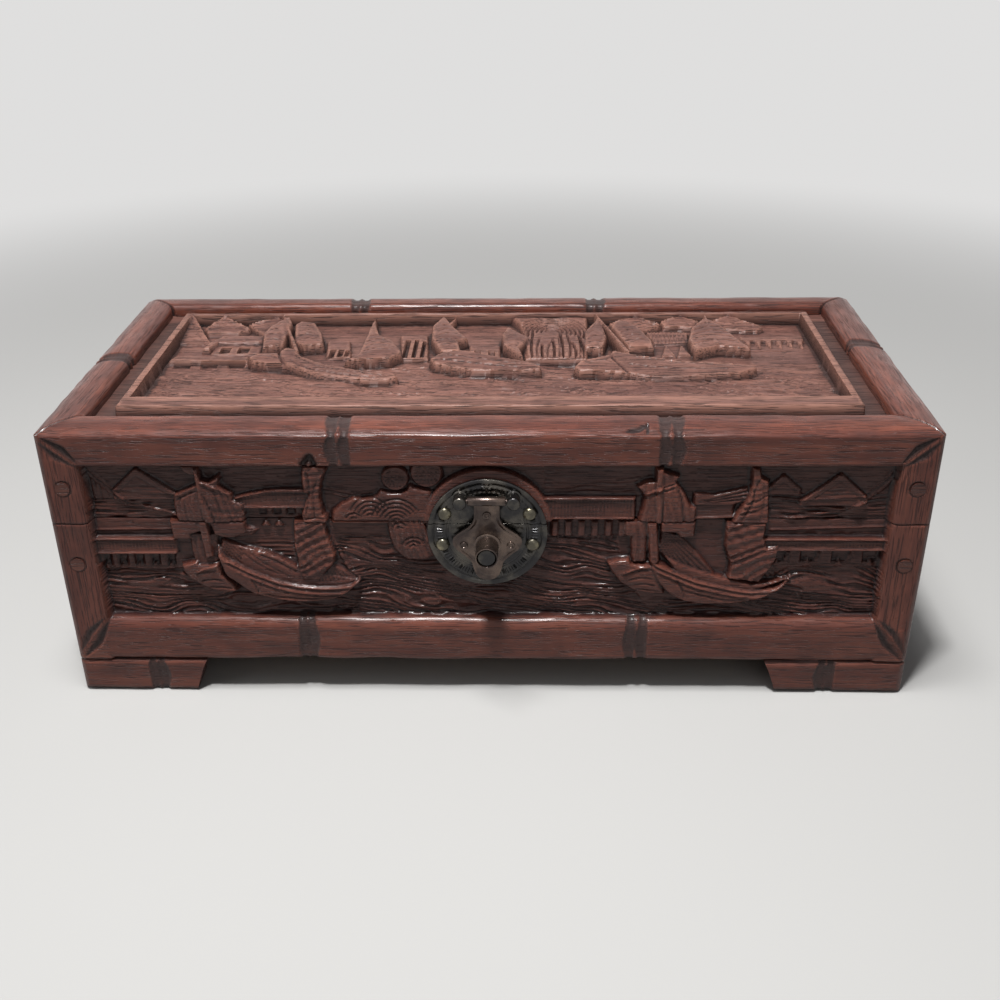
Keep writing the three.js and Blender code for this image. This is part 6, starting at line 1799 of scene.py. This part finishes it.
@dataclass
class Lock:
    """The brass lock's pieces: plate, studs, posts, hasp with its knuckle, rivets and barrel."""

    case: Case
    steps: int = 48

    def _origin(self, node: str) -> Place:
        """Returns the centre of a node's back, in mm, for a piece that faces the front."""
        low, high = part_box(node)
        return ((low.x + high.x) / 2 / MM, high.y / MM, (low.z + high.z) / 2 / MM)

    def plate(self) -> tuple[Piece, Piece]:
        """Makes the two halves of the round plate."""
        low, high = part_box("lower_lock_plate")
        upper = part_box("upper_lock_plate")[0].z / MM
        half = (high.x - low.x) / 2 / MM
        centre = (0.0, high.y / MM, low.z / MM + half)
        return LockPlate(centre, (high.z / MM, upper), radius=half).build()

    def _turned_set(self, words: tuple[str, str], nodes: dict[str, str], finish: str, steps: int,
            profile: Callable[..., Outline]) -> list[Piece]:
        """Turns the pieces of one kind, each to the size of its node.

        Args:
            words: How the pieces' names start, and a second word that is not used.
            nodes: Each node with the body that it rides on.
            finish: Word of their finish.
            steps: Number of facets round.
            profile: Draws the profile from a radius and a depth.

        Returns:
            The pieces.
        """
        made = []
        for node, body in nodes.items():
            low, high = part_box(node)
            outline = profile((high.x - low.x) / 2 / MM, (high.y - low.y) / MM)
            item = turned(f"{words[0]}_{node}", outline, self._origin(node), steps)
            item["finish"] = finish
            made.append(dress(item, body, node))
        return made

    def studs(self) -> list[Piece]:
        """Makes the four domed studs that hold the plate."""

        def dome(radius: float, depth: float) -> Outline:
            """Draws a shank with a low dome on it."""
            shank = 5.0
            points = [(0.0, 0.0), (0.8, 0.0), (0.8, shank), (radius - 0.15, shank), (radius, shank + 0.15)]
            for i in range(1, 9):
                angle = math.radians(i * 90 / 8)
                points.append((radius * math.cos(angle), shank + 0.15 + 1.5 * math.sin(angle)))
            return [*points[:-1], (0.0, points[-1][1])]

        places = (("upper", "lid"), ("lower", "base"))
        nodes = {f"{level}_{hand}_plate_stud": body for level, body in places for hand in ("left", "right")}
        return self._turned_set(("domed", "dark_brass"), nodes, "stud", self.steps, dome)

    def rivets(self) -> list[Piece]:
        """Makes the three ring rivets of the hasp, each with a dimple."""

        def ring(radius: float, depth: float) -> Outline:
            """Draws a shank with a ringed head on it."""
            return [(0.0, 0.0), (0.7, 0.0), (0.7, depth - 0.5), (radius - 0.1, depth - 0.5),
                (radius, depth - 0.35), (radius - 0.12, depth - 0.12), (radius - 0.42, depth),
                (radius - 0.62, depth - 0.08), (radius - 0.82, depth - 0.4), (0.35, depth - 0.45),
                (0.0, depth - 0.42)]

        nodes = {f"{hand}_hasp_rivet": "hasp" for hand in ("top", "left", "right")}
        return self._turned_set(("ring", "hasp_brass"), nodes, "hasp", 32, ring)

    def posts(self) -> list[Piece]:
        """Makes the two posts of the hasp's pin."""

        def post(radius: float, depth: float) -> Outline:
            """Draws a shank, a foot ring and a rounded head."""
            return [(0.0, 0.0), (1.1, 0.0), (1.1, depth - 6), (2.45, depth - 6), (2.45, depth - 5.6),
                (2.1, depth - 5.3), (2.1, depth - 4.9), (2.3, depth - 4.5), (2.3, depth - 0.8),
                (2.15, depth - 0.35), (1.75, depth - 0.08), (1.3, depth), (0.0, depth)]

        nodes = {f"{hand}_hasp_post": "lid" for hand in ("left", "right")}
        return self._turned_set(("turned", "dark_brass"), nodes, "plate", 40, post)

    def barrel(self) -> Piece:
        """Makes the flanged barrel."""
        low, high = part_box("lock_barrel")
        x, back, z = self._origin("lock_barrel")
        depth = (high.y - low.y) / MM
        profile = [(2.6, 0.0), (4.7, 0.0), (4.7, 0.5), (4.45, 0.75), (3.95, 0.8), (3.85, 1.0),
            (3.85, depth - 1.2), (3.75, depth - 1.0), (3.75, depth - 0.7), (3.85, depth - 0.5),
            (3.78, depth - 0.14), (3.6, depth), (3.42, depth - 0.04), (3.32, depth - 0.3), (3.3, 2.2),
            (2.6, 1.9), (2.6, 0.0)]
        shell = turned("flanged_lock_barrel", profile, (x, back, z), 64)
        return dress(shell, "hasp", "lock_barrel")

    def hasp(self) -> Piece:
        """Makes the hasp: a shaped plate with a hollowed border, whose top rolls round the pin."""
        pin_low, pin_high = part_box("hasp_pin")
        axis = ((pin_low.y + pin_high.y) / 2 / MM, (pin_low.z + pin_high.z) / 2 / MM)
        heights = [48.95, 49.1, 49.7, 51.2, 53.3, 56.2, 58.6, 60.8, 62.6, 64, 65.6, 67.2, 68.4, 69.8, 71.4,
            73.2, 79.4]
        halves = [0.3, 1.2, 2.7, 4.1, 4.8, 5.5, 7.6, 10.4, 11.6, 11.85, 11.6, 10.0, 8.3, 6.3, 5.0, 4.4,
            4.35]
        up = np.linspace(heights[0], heights[-1], 100)
        side, z = np.meshgrid(np.linspace(-1, 1, 71), up)
        x = side * np.interp(z, heights, halves)
        outline = [*zip(halves, heights), *[(-h, z) for h, z in zip(reversed(halves), reversed(heights))]]
        inward = np.maximum(edge_distance(x, z, outline), 0)
        edge = unit(inward / 0.35)
        rise = 0.9 + 0.2 * np.sqrt(edge * (2 - edge)) - 0.3 * ridge(inward - 1.35, 0.5, 1.3)
        rise += 0.04 * drift(x, z, 1.6, 77)
        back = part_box("hasp_plate")[1].y / MM
        front = np.stack([x, back - rise, z], axis=-1)
        rear = front.copy()
        rear[..., 1] = back
        plate, faces = closed_sheet(front, rear)
        item = mesh_object("rolled_hasp_plate", plate * MM, faces)
        bored(item, (0, back, LockPlate.stem[0]), LockPlate.stem[1])
        turn = np.linspace(0, 2 * math.pi, 32, endpoint=False)
        marks = [(-6.4, 0.95), (-6.4, 1.5), (-6.25, 1.64), (6.25, 1.64), (6.4, 1.5), (6.4, 0.95)]
        rings = [[(place, axis[0] + r * math.cos(a), axis[1] + r * math.sin(a)) for a in turn]
            for place, r in marks]
        count = len(turn)
        around = []
        for ring in range(len(marks)):
            here, after = ring * count, (ring + 1) % len(marks) * count
            for i in range(count):
                j = (i + 1) % count
                around.append((here + i, here + j, after + j, after + i))
        knuckle = mesh_object("hasp_knuckle", np.array(rings).reshape(-1, 3) * MM, around)
        select(item, knuckle)
        bpy.ops.object.join()
        smooth_by_angle(item, 45)
        return dress(item, "hasp", "hasp_plate")


# Finishes


class Value:
    """A number in a material that varies over the surface, with arithmetic written as in Python."""

    def __init__(self, shop: "NodeShop", socket: Socket) -> None:
        """Keeps the socket that gives the number."""
        self.shop = shop
        self.socket = socket

    def _math(self, operation: str, first: "Value | float", second: "Value | float") -> "Value":
        """Adds one Math node."""
        node = self.shop.node("ShaderNodeMath", {"operation": operation}, {0: first, 1: second})
        return Value(self.shop, node.outputs[0])

    def __add__(self, other: "Value | float") -> "Value":
        """Adds."""
        return self._math("ADD", self, other)

    __radd__ = __add__

    def __rsub__(self, other: float) -> "Value":
        """Subtracts from a number."""
        return self._math("SUBTRACT", other, self)

    def __mul__(self, other: "Value | float") -> "Value":
        """Multiplies."""
        return self._math("MULTIPLY", self, other)

    __rmul__ = __mul__

    def clip(self) -> "Value":
        """Keeps the number between 0 and 1."""
        node = self.shop.node("ShaderNodeClamp", {}, {"Value": self})
        return Value(self.shop, node.outputs[0])

    def ramp(self, low: float, high: float) -> "Value":
        """Spreads the range from low to high over 0 to 1, smoothly."""
        node = self.shop.node("ShaderNodeMapRange", {"interpolation_type": "SMOOTHSTEP"},
            {"Value": self, "From Min": low, "From Max": high})
        return Value(self.shop, node.outputs[0])


class NodeShop:
    """Adds nodes to one node tree."""

    def __init__(self, tree: bpy.types.NodeTree) -> None:
        """Empties the tree."""
        self.tree = tree
        tree.nodes.clear()

    def node(self, kind: str, settings: dict, inputs: dict) -> bpy.types.Node:
        """Adds a node.

        Args:
            kind: The node's type.
            settings: Its own settings, set before its sockets are.
            inputs: Values or links of its sockets, by name or number.

        Returns:
            The node.
        """
        node = self.tree.nodes.new(kind)
        for key, setting in settings.items():
            setattr(node, key, setting)
        for key, source in inputs.items():
            self.feed(node.inputs[key], source)
        return node

    def feed(self, socket: Socket, source: object) -> None:
        """Links a socket to its source, or sets it to a number, a vector or a colour.

        Args:
            socket: The socket.
            source: A Value, another node's socket, or what the socket is set to.
        """
        source = source.socket if isinstance(source, Value) else source
        if isinstance(source, Socket):
            self.tree.links.new(source, socket)
        else:
            socket.default_value = (*source, 1.0) if socket.type == "RGBA" else source

    def shown(self) -> Value:
        """Gives 1 for what the camera sees, mirrored or through glass too, and 0 for light that bounces."""
        rays = self.node("ShaderNodeLightPath", {}, {}).outputs
        camera = Value(self, rays["Is Camera Ray"])
        return (camera + Value(self, rays["Is Glossy Ray"])
            + Value(self, rays["Is Transmission Ray"])).clip()


class Finish(NodeShop):
    """A material being made: its main shader and the nodes that the finishes share."""

    def __init__(self, name: str) -> None:
        """Starts a material with one main shader."""
        self.material = bpy.data.materials.new(name)
        self.material.use_nodes = True
        super().__init__(self.material.node_tree)
        self.shader = self.node("ShaderNodeBsdfPrincipled", {}, {})
        self.out = self.node("ShaderNodeOutputMaterial", {}, {"Surface": self.shader.outputs[0]})

    def attribute(self, name: str) -> Socket:
        """Reads a vector that is stored with the mesh."""
        return self.node("ShaderNodeAttribute", {"attribute_name": name}, {}).outputs["Vector"]

    def places(self) -> Socket:
        """Reads the place on the piece, in metres."""
        return self.node("ShaderNodeTexCoord", {}, {}).outputs["Object"]

    def stretched(self, source: Socket, scale: Colour) -> Socket:
        """Multiplies a vector, so that a pattern is drawn out along the smaller numbers."""
        settings = {"operation": "MULTIPLY"}
        return self.node("ShaderNodeVectorMath", settings, {0: source, 1: scale}).outputs[0]

    def noise(self, source: Socket, scale: float, detail: float = 2.0, rough: float = 0.5) -> Value:
        """Reads a noise pattern."""
        inputs = {"Vector": source, "Scale": scale, "Detail": detail, "Roughness": rough}
        return Value(self, self.node("ShaderNodeTexNoise", {}, inputs).outputs["Fac"])

    def split(self, source: Socket) -> tuple[Value, Value, Value]:
        """Parts a vector into its three numbers."""
        outputs = self.node("ShaderNodeSeparateXYZ", {}, {0: source}).outputs
        return Value(self, outputs[0]), Value(self, outputs[1]), Value(self, outputs[2])

    def mix(self, share: Value | float, first: object, second: object) -> Socket:
        """Mixes two colours."""
        return self.node("ShaderNodeMix", {"data_type": "RGBA"}, {0: share, 6: first, 7: second}).outputs[2]

    def shade(self, **inputs: object) -> None:
        """Sets sockets of the main shader, by name with _ for a space."""
        for key, source in inputs.items():
            self.feed(self.shader.inputs[key.replace("_", " ")], source)

    def relief(self, height: Value, distance: float, strength: float = 1.0) -> None:
        """Gives the surface a fine relief of a depth in metres."""
        inputs = {"Height": height, "Distance": distance, "Strength": strength}
        self.feed(self.shader.inputs["Normal"], self.node("ShaderNodeBump", {}, inputs).outputs[0])


def srgb(red: float, green: float, blue: float) -> Colour:
    """Turns screen values from 0 to 255 into a linear colour."""
    return tuple(((v / 255 + 0.055) / 1.055) ** 2.4 if v > 10.3 else v / 255 / 12.92
        for v in (red, green, blue))


@dataclass(frozen=True)
class CarvedWood:
    """Old polished reddish hardwood with open grain, dark in its hollows from dirt and painted shade, and
    worn on its edges.
    """

    name: str = "Old red wood"
    body: Colour = srgb(88, 47, 38)
    light: Colour = srgb(110, 62, 49)
    dark: Colour = srgb(52, 29, 26)
    # Colour of the pores, and of the hollows, where it is dirt and painted shade.
    hollow: Colour = srgb(34, 16, 16)
    worn: Colour = srgb(126, 76, 62)
    stain: Colour = srgb(42, 33, 32)
    carved: bool = True
    gloss: float = 0.25
    coat: float = 0.13

    def make(self) -> bpy.types.Material:
        """Builds the material."""
        finish = Finish(self.name)
        grain = finish.attribute("grain") if self.carved else finish.places()
        streaks = finish.noise(finish.stretched(grain, (9, 170, 170)), 1.0, 3.0, 0.6)
        mottle = finish.noise(grain, 46.0, 4.0, 0.6)
        pores = finish.noise(finish.stretched(grain, (100, 2500, 2500)), 1.0, 1.5, 0.5)
        fibres = finish.noise(finish.stretched(grain, (55, 1300, 1300)), 1.0, 2.0, 0.6)
        pore = pores.ramp(0.54, 0.64)
        colour = finish.mix(streaks.ramp(0.36, 0.66), self.body, self.light)
        colour = finish.mix(mottle.ramp(0.42, 0.7) * 0.55, colour, self.dark)
        colour = finish.mix(fibres.ramp(0.48, 0.72) * 0.4, colour, self.dark)
        rough = mottle.ramp(0.3, 0.7) * 0.14 + self.gloss
        height = 1.0 - pore * 0.9 + fibres * 0.35 + mottle * 0.25
        if self.carved:
            hollow, proud, stained = finish.split(finish.attribute("wear_and_shade"))
            patchy = finish.noise(grain, 160.0, 3.0, 0.6)
            colour = finish.mix((proud * (patchy * 0.9 + 0.1)).clip(), colour, self.worn)
            # The hollows are darkened for dirt and for painted shade.
            colour = finish.mix((hollow * (patchy * 0.5 + 0.75)).clip(), colour, self.hollow)
            colour = finish.mix((stained * (patchy * 0.6 + 0.62)).clip(), colour, self.stain)
            rough = rough + hollow * 0.05 + stained * 0.16
            height = height + patchy * stained * 0.9
        colour = finish.mix(pore * 0.7, colour, self.hollow)
        finish.shade(Base_Color=colour, Roughness=(rough + pore * 0.2).clip(), Specular_IOR_Level=0.24)
        finish.shade(Coat_Weight=self.coat, Coat_Roughness=0.15)
        finish.relief(height, 0.00022, 0.85)
        return finish.material


@dataclass(frozen=True)
class AgedBrass:
    """Brass in dark and brighter patches, with dark specks and fine scratches."""

    name: str
    dark: Colour
    bright: Colour
    rough: float = 0.36
    metal: float = 0.9
    lacquer: float = 0.3

    def make(self) -> bpy.types.Material:
        """Builds the material."""
        finish = Finish(self.name)
        place = finish.places()
        bloom = finish.noise(place, 130.0, 4.0, 0.6)
        specks = finish.noise(place, 900.0, 2.0, 0.6)
        scratches = finish.noise(finish.stretched(place, (900, 1, 5200)), 1.0, 2.0, 0.7)
        colour = finish.mix(bloom.ramp(0.4, 0.68), self.dark, self.bright)
        colour = finish.mix(specks.ramp(0.6, 0.75) * 0.5, colour, self.dark)
        rough = bloom.ramp(0.3, 0.7) * -0.1 + specks * 0.2 + self.rough
        finish.shade(Base_Color=colour, Roughness=rough.clip(), Metallic=self.metal)
        finish.shade(Coat_Weight=self.lacquer, Coat_Roughness=0.14)
        finish.relief(specks * 0.7 + scratches * 0.5 + bloom, 0.00012, 0.6)
        return finish.material


def floor_material(pale: Colour, near: float, far: float) -> bpy.types.Material:
    """Makes the plain pale floor, which fades into the pale surroundings.

    Args:
        pale: Colour of the surroundings.
        near: Distance from the box where the fading starts, in metres.
        far: Distance where it ends.

    Returns:
        The material.
    """
    finish = Finish("Pale floor")
    x, y, _ = finish.split(finish.places())
    tone = finish.noise(finish.places(), 3.0, 2.0)
    seen = finish.shown()
    colour = finish.mix(tone, (0.4, 0.395, 0.385), (0.42, 0.415, 0.405))
    finish.shade(Base_Color=finish.mix(seen, (0.2, 0.2, 0.21), colour), Roughness=0.8,
        Specular_IOR_Level=0.1)
    glow = finish.node("ShaderNodeEmission", {}, {"Color": pale})
    share = (x * x + y * y).ramp(near * near, far * far) * seen
    blend = finish.node("ShaderNodeMixShader", {},
        {0: share, 1: finish.shader.outputs[0], 2: glow.outputs[0]})
    finish.feed(finish.out.inputs[0], blend.outputs[0])
    return finish.material


# The picture


@dataclass(frozen=True)
class Studio:
    """The floor, soft lights, pale surroundings and the camera."""

    place: Place = (0.013643, -0.41511, 0.265757)
    pitch: float = 0.4884
    yaw: float = 0.0262
    roll: float = -0.0117
    lens: float = 42.63
    pale: Colour = (0.74, 0.735, 0.73)

    def camera(self) -> Piece:
        """Sets the camera at the photograph's place and turn."""
        c, s = math.cos, math.sin
        forward = Vector((-s(self.yaw) * c(self.pitch), c(self.yaw) * c(self.pitch), -s(self.pitch)))
        level = Vector((c(self.yaw), s(self.yaw), 0))
        upward = Vector((-s(self.yaw) * s(self.pitch), c(self.yaw) * s(self.pitch), c(self.pitch)))
        right = c(self.roll) * level + s(self.roll) * upward
        up = c(self.roll) * upward - s(self.roll) * level
        turn = Matrix((right, up, -forward)).transposed().to_4x4()
        data = bpy.data.cameras.new("Camera")
        data.lens = self.lens
        data.sensor_width = 36
        item = bpy.data.objects.new("Camera", data)
        item.matrix_world = Matrix.Translation(self.place) @ turn
        bpy.context.scene.collection.objects.link(item)
        bpy.context.scene.camera = item
        return item

    def lamp(self, name: str, place: Place, target: Place, size: tuple[float, float], power: float) -> None:
        """Hangs a soft rectangular lamp that faces a target.

        Args:
            name: The lamp's name.
            place: Where it hangs.
            target: Where it points.
            size: Its two sides.
            power: Its power in watts.
        """
        data = bpy.data.lights.new(name, "AREA")
        data.shape = "RECTANGLE"
        data.size, data.size_y = size
        data.energy = power
        item = bpy.data.objects.new(name, data)
        away = Vector(target) - Vector(place)
        item.matrix_world = Matrix.Translation(place) @ away.to_track_quat("-Z", "Y").to_matrix().to_4x4()
        bpy.context.scene.collection.objects.link(item)

    def surroundings(self, strength: float = 0.15) -> None:
        """Fills the scene with soft light and shows the camera a plain pale wall."""
        world = bpy.data.worlds.new("Pale room")
        bpy.context.scene.world = world
        world.use_nodes = True
        shop = NodeShop(world.node_tree)
        light = shop.node("ShaderNodeBackground", {}, {"Color": (0.95, 0.97, 1.0), "Strength": strength})
        wall = shop.node("ShaderNodeBackground", {}, {"Color": self.pale, "Strength": 1.0})
        inputs = {0: shop.shown(), 1: light.outputs[0], 2: wall.outputs[0]}
        blend = shop.node("ShaderNodeMixShader", {}, inputs)
        shop.node("ShaderNodeOutputWorld", {}, {"Surface": blend.outputs[0]})

    def floor(self) -> Piece:
        """Lays the floor at the soles of the feet."""
        select()
        bpy.ops.mesh.primitive_grid_add(x_subdivisions=8, y_subdivisions=8, size=12,
            location=(0, 0, -0.0002))
        item = bpy.context.object
        item.name = "floor"
        bpy.ops.object.transform_apply(location=True, rotation=True, scale=True)
        item.data.materials.append(floor_material(self.pale, 0.22, 0.8))
        return item

    def build(self) -> None:
        """Sets the whole studio up."""
        self.camera()
        self.surroundings()
        self.floor()
        self.lamp("Ceiling", (-0.1, -0.16, 1.0), (0, 0, 0.06), (0.3, 0.22), 8.0)
        self.lamp("Ceiling bulb", (-0.06, -0.3, 0.95), (0, 0, 0.06), (0.09, 0.07), 8.5)
        self.lamp("Left sky", (-0.9, -0.45, 0.75), (0, 0, 0.06), (0.6, 0.6), 1.4)
        self.lamp("Front fill", (0.35, -1.2, 0.8), (0, 0, 0.05), (0.8, 0.6), 0.8)
        bpy.context.scene.view_settings.view_transform = "Standard"


# The whole box


def dress_nodes(frame: dict, pieces: Sequence[Piece], finishes: dict[str, bpy.types.Material]) -> None:
    """Gives every piece and every CAD node that still shows its finish."""
    for item in pieces:
        item.data.materials.clear()
        item.data.materials.append(finishes[item["finish"]])
    for name, node in frame["nodes"].items():
        if name.endswith("peg"):
            word = "peg"
        elif name == "bottom_board":
            word = "pale"
        elif name.startswith("hasp") or name.endswith("rivet") or name == "lock_barrel":
            word = "hasp"
        elif "spring" in name:
            word = "steel"
        elif name.endswith(("wall", "panel")) or "_foot_" in name:
            word = "plain"
        else:
            word = "plate"
        node.data.materials.clear()
        node.data.materials.append(finishes[word])
    LOG.info("dressed %d pieces and %d nodes", len(pieces), len(frame["nodes"]))


def main(frame: dict) -> None:
    """Builds the box, its finishes and the studio, in order."""
    logging.basicConfig(level=logging.INFO, format="%(name)s: %(message)s")
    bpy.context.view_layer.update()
    case = Case.from_frame()
    made: list[Piece] = []
    walls = Walls(case)
    for side in Side:
        made.extend(walls.build(side))
        LOG.info("carved the %s", side.word)
    made.append(LidPanel(case).build())
    LOG.info("carved the lid panel")
    feet = Feet(case)
    for corner, front in (("front_left", Side.FRONT), ("front_right", Side.FRONT),
            ("back_right", Side.BACK), ("back_left", Side.BACK)):
        flank = Side.LEFT if corner.endswith("left") else Side.RIGHT
        made.append(feet.build(corner, front))
        made.append(feet.build(corner, flank))
    LOG.info("shaped the feet")
    for item in made:
        item["finish"] = "panel" if item.name == "lid_carved_panel" else "wood"
    lock = Lock(case)
    plates, posts, studs, rivets = lock.plate(), lock.posts(), lock.studs(), lock.rivets()
    barrel, hasp = lock.barrel(), lock.hasp()
    for item, word in ((plates[0], "plate"), (plates[1], "plate"), (barrel, "hasp"), (hasp, "hasp")):
        item["finish"] = word
    made.extend([*plates, *posts, *rivets, barrel, hasp, *studs])
    LOG.info("made the lock")
    # The panel's paler, pinkish-grey colours stand for dust and for a painted sheen on its upward faces.
    finishes = {"wood": CarvedWood().make(), "panel": CarvedWood("Dusty panel wood with painted sheen", srgb(94, 62, 55),
        srgb(116, 80, 70), srgb(68, 44, 40), srgb(30, 19, 18), srgb(150, 108, 92), gloss=0.42,
        coat=0.02).make(), "plain": CarvedWood("Plain red wood", carved=False).make(),
        "peg": CarvedWood("Peg end grain", body=srgb(78, 44, 36), light=srgb(96, 56, 45),
        carved=False).make(), "pale": CarvedWood("Pale bottom wood", body=srgb(170, 130, 92),
        light=srgb(192, 152, 112), dark=srgb(120, 86, 60), hollow=srgb(84, 58, 42), carved=False).make(),
        "plate": AgedBrass("Dark plate brass", srgb(42, 41, 42), srgb(78, 74, 68), 0.26).make(),
        "hasp": AgedBrass("Bronze hasp", srgb(60, 50, 47), srgb(98, 83, 74), 0.27).make(),
        "stud": AgedBrass("Rubbed stud brass", srgb(74, 70, 60), srgb(138, 130, 106), 0.24).make(),
        "steel": AgedBrass("Spring steel", srgb(110, 110, 112), srgb(160, 160, 162), 0.3, 1.0).make()}
    dress_nodes(frame, made, finishes)
    Studio().build()


if __name__ == "__main__":
    main(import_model())
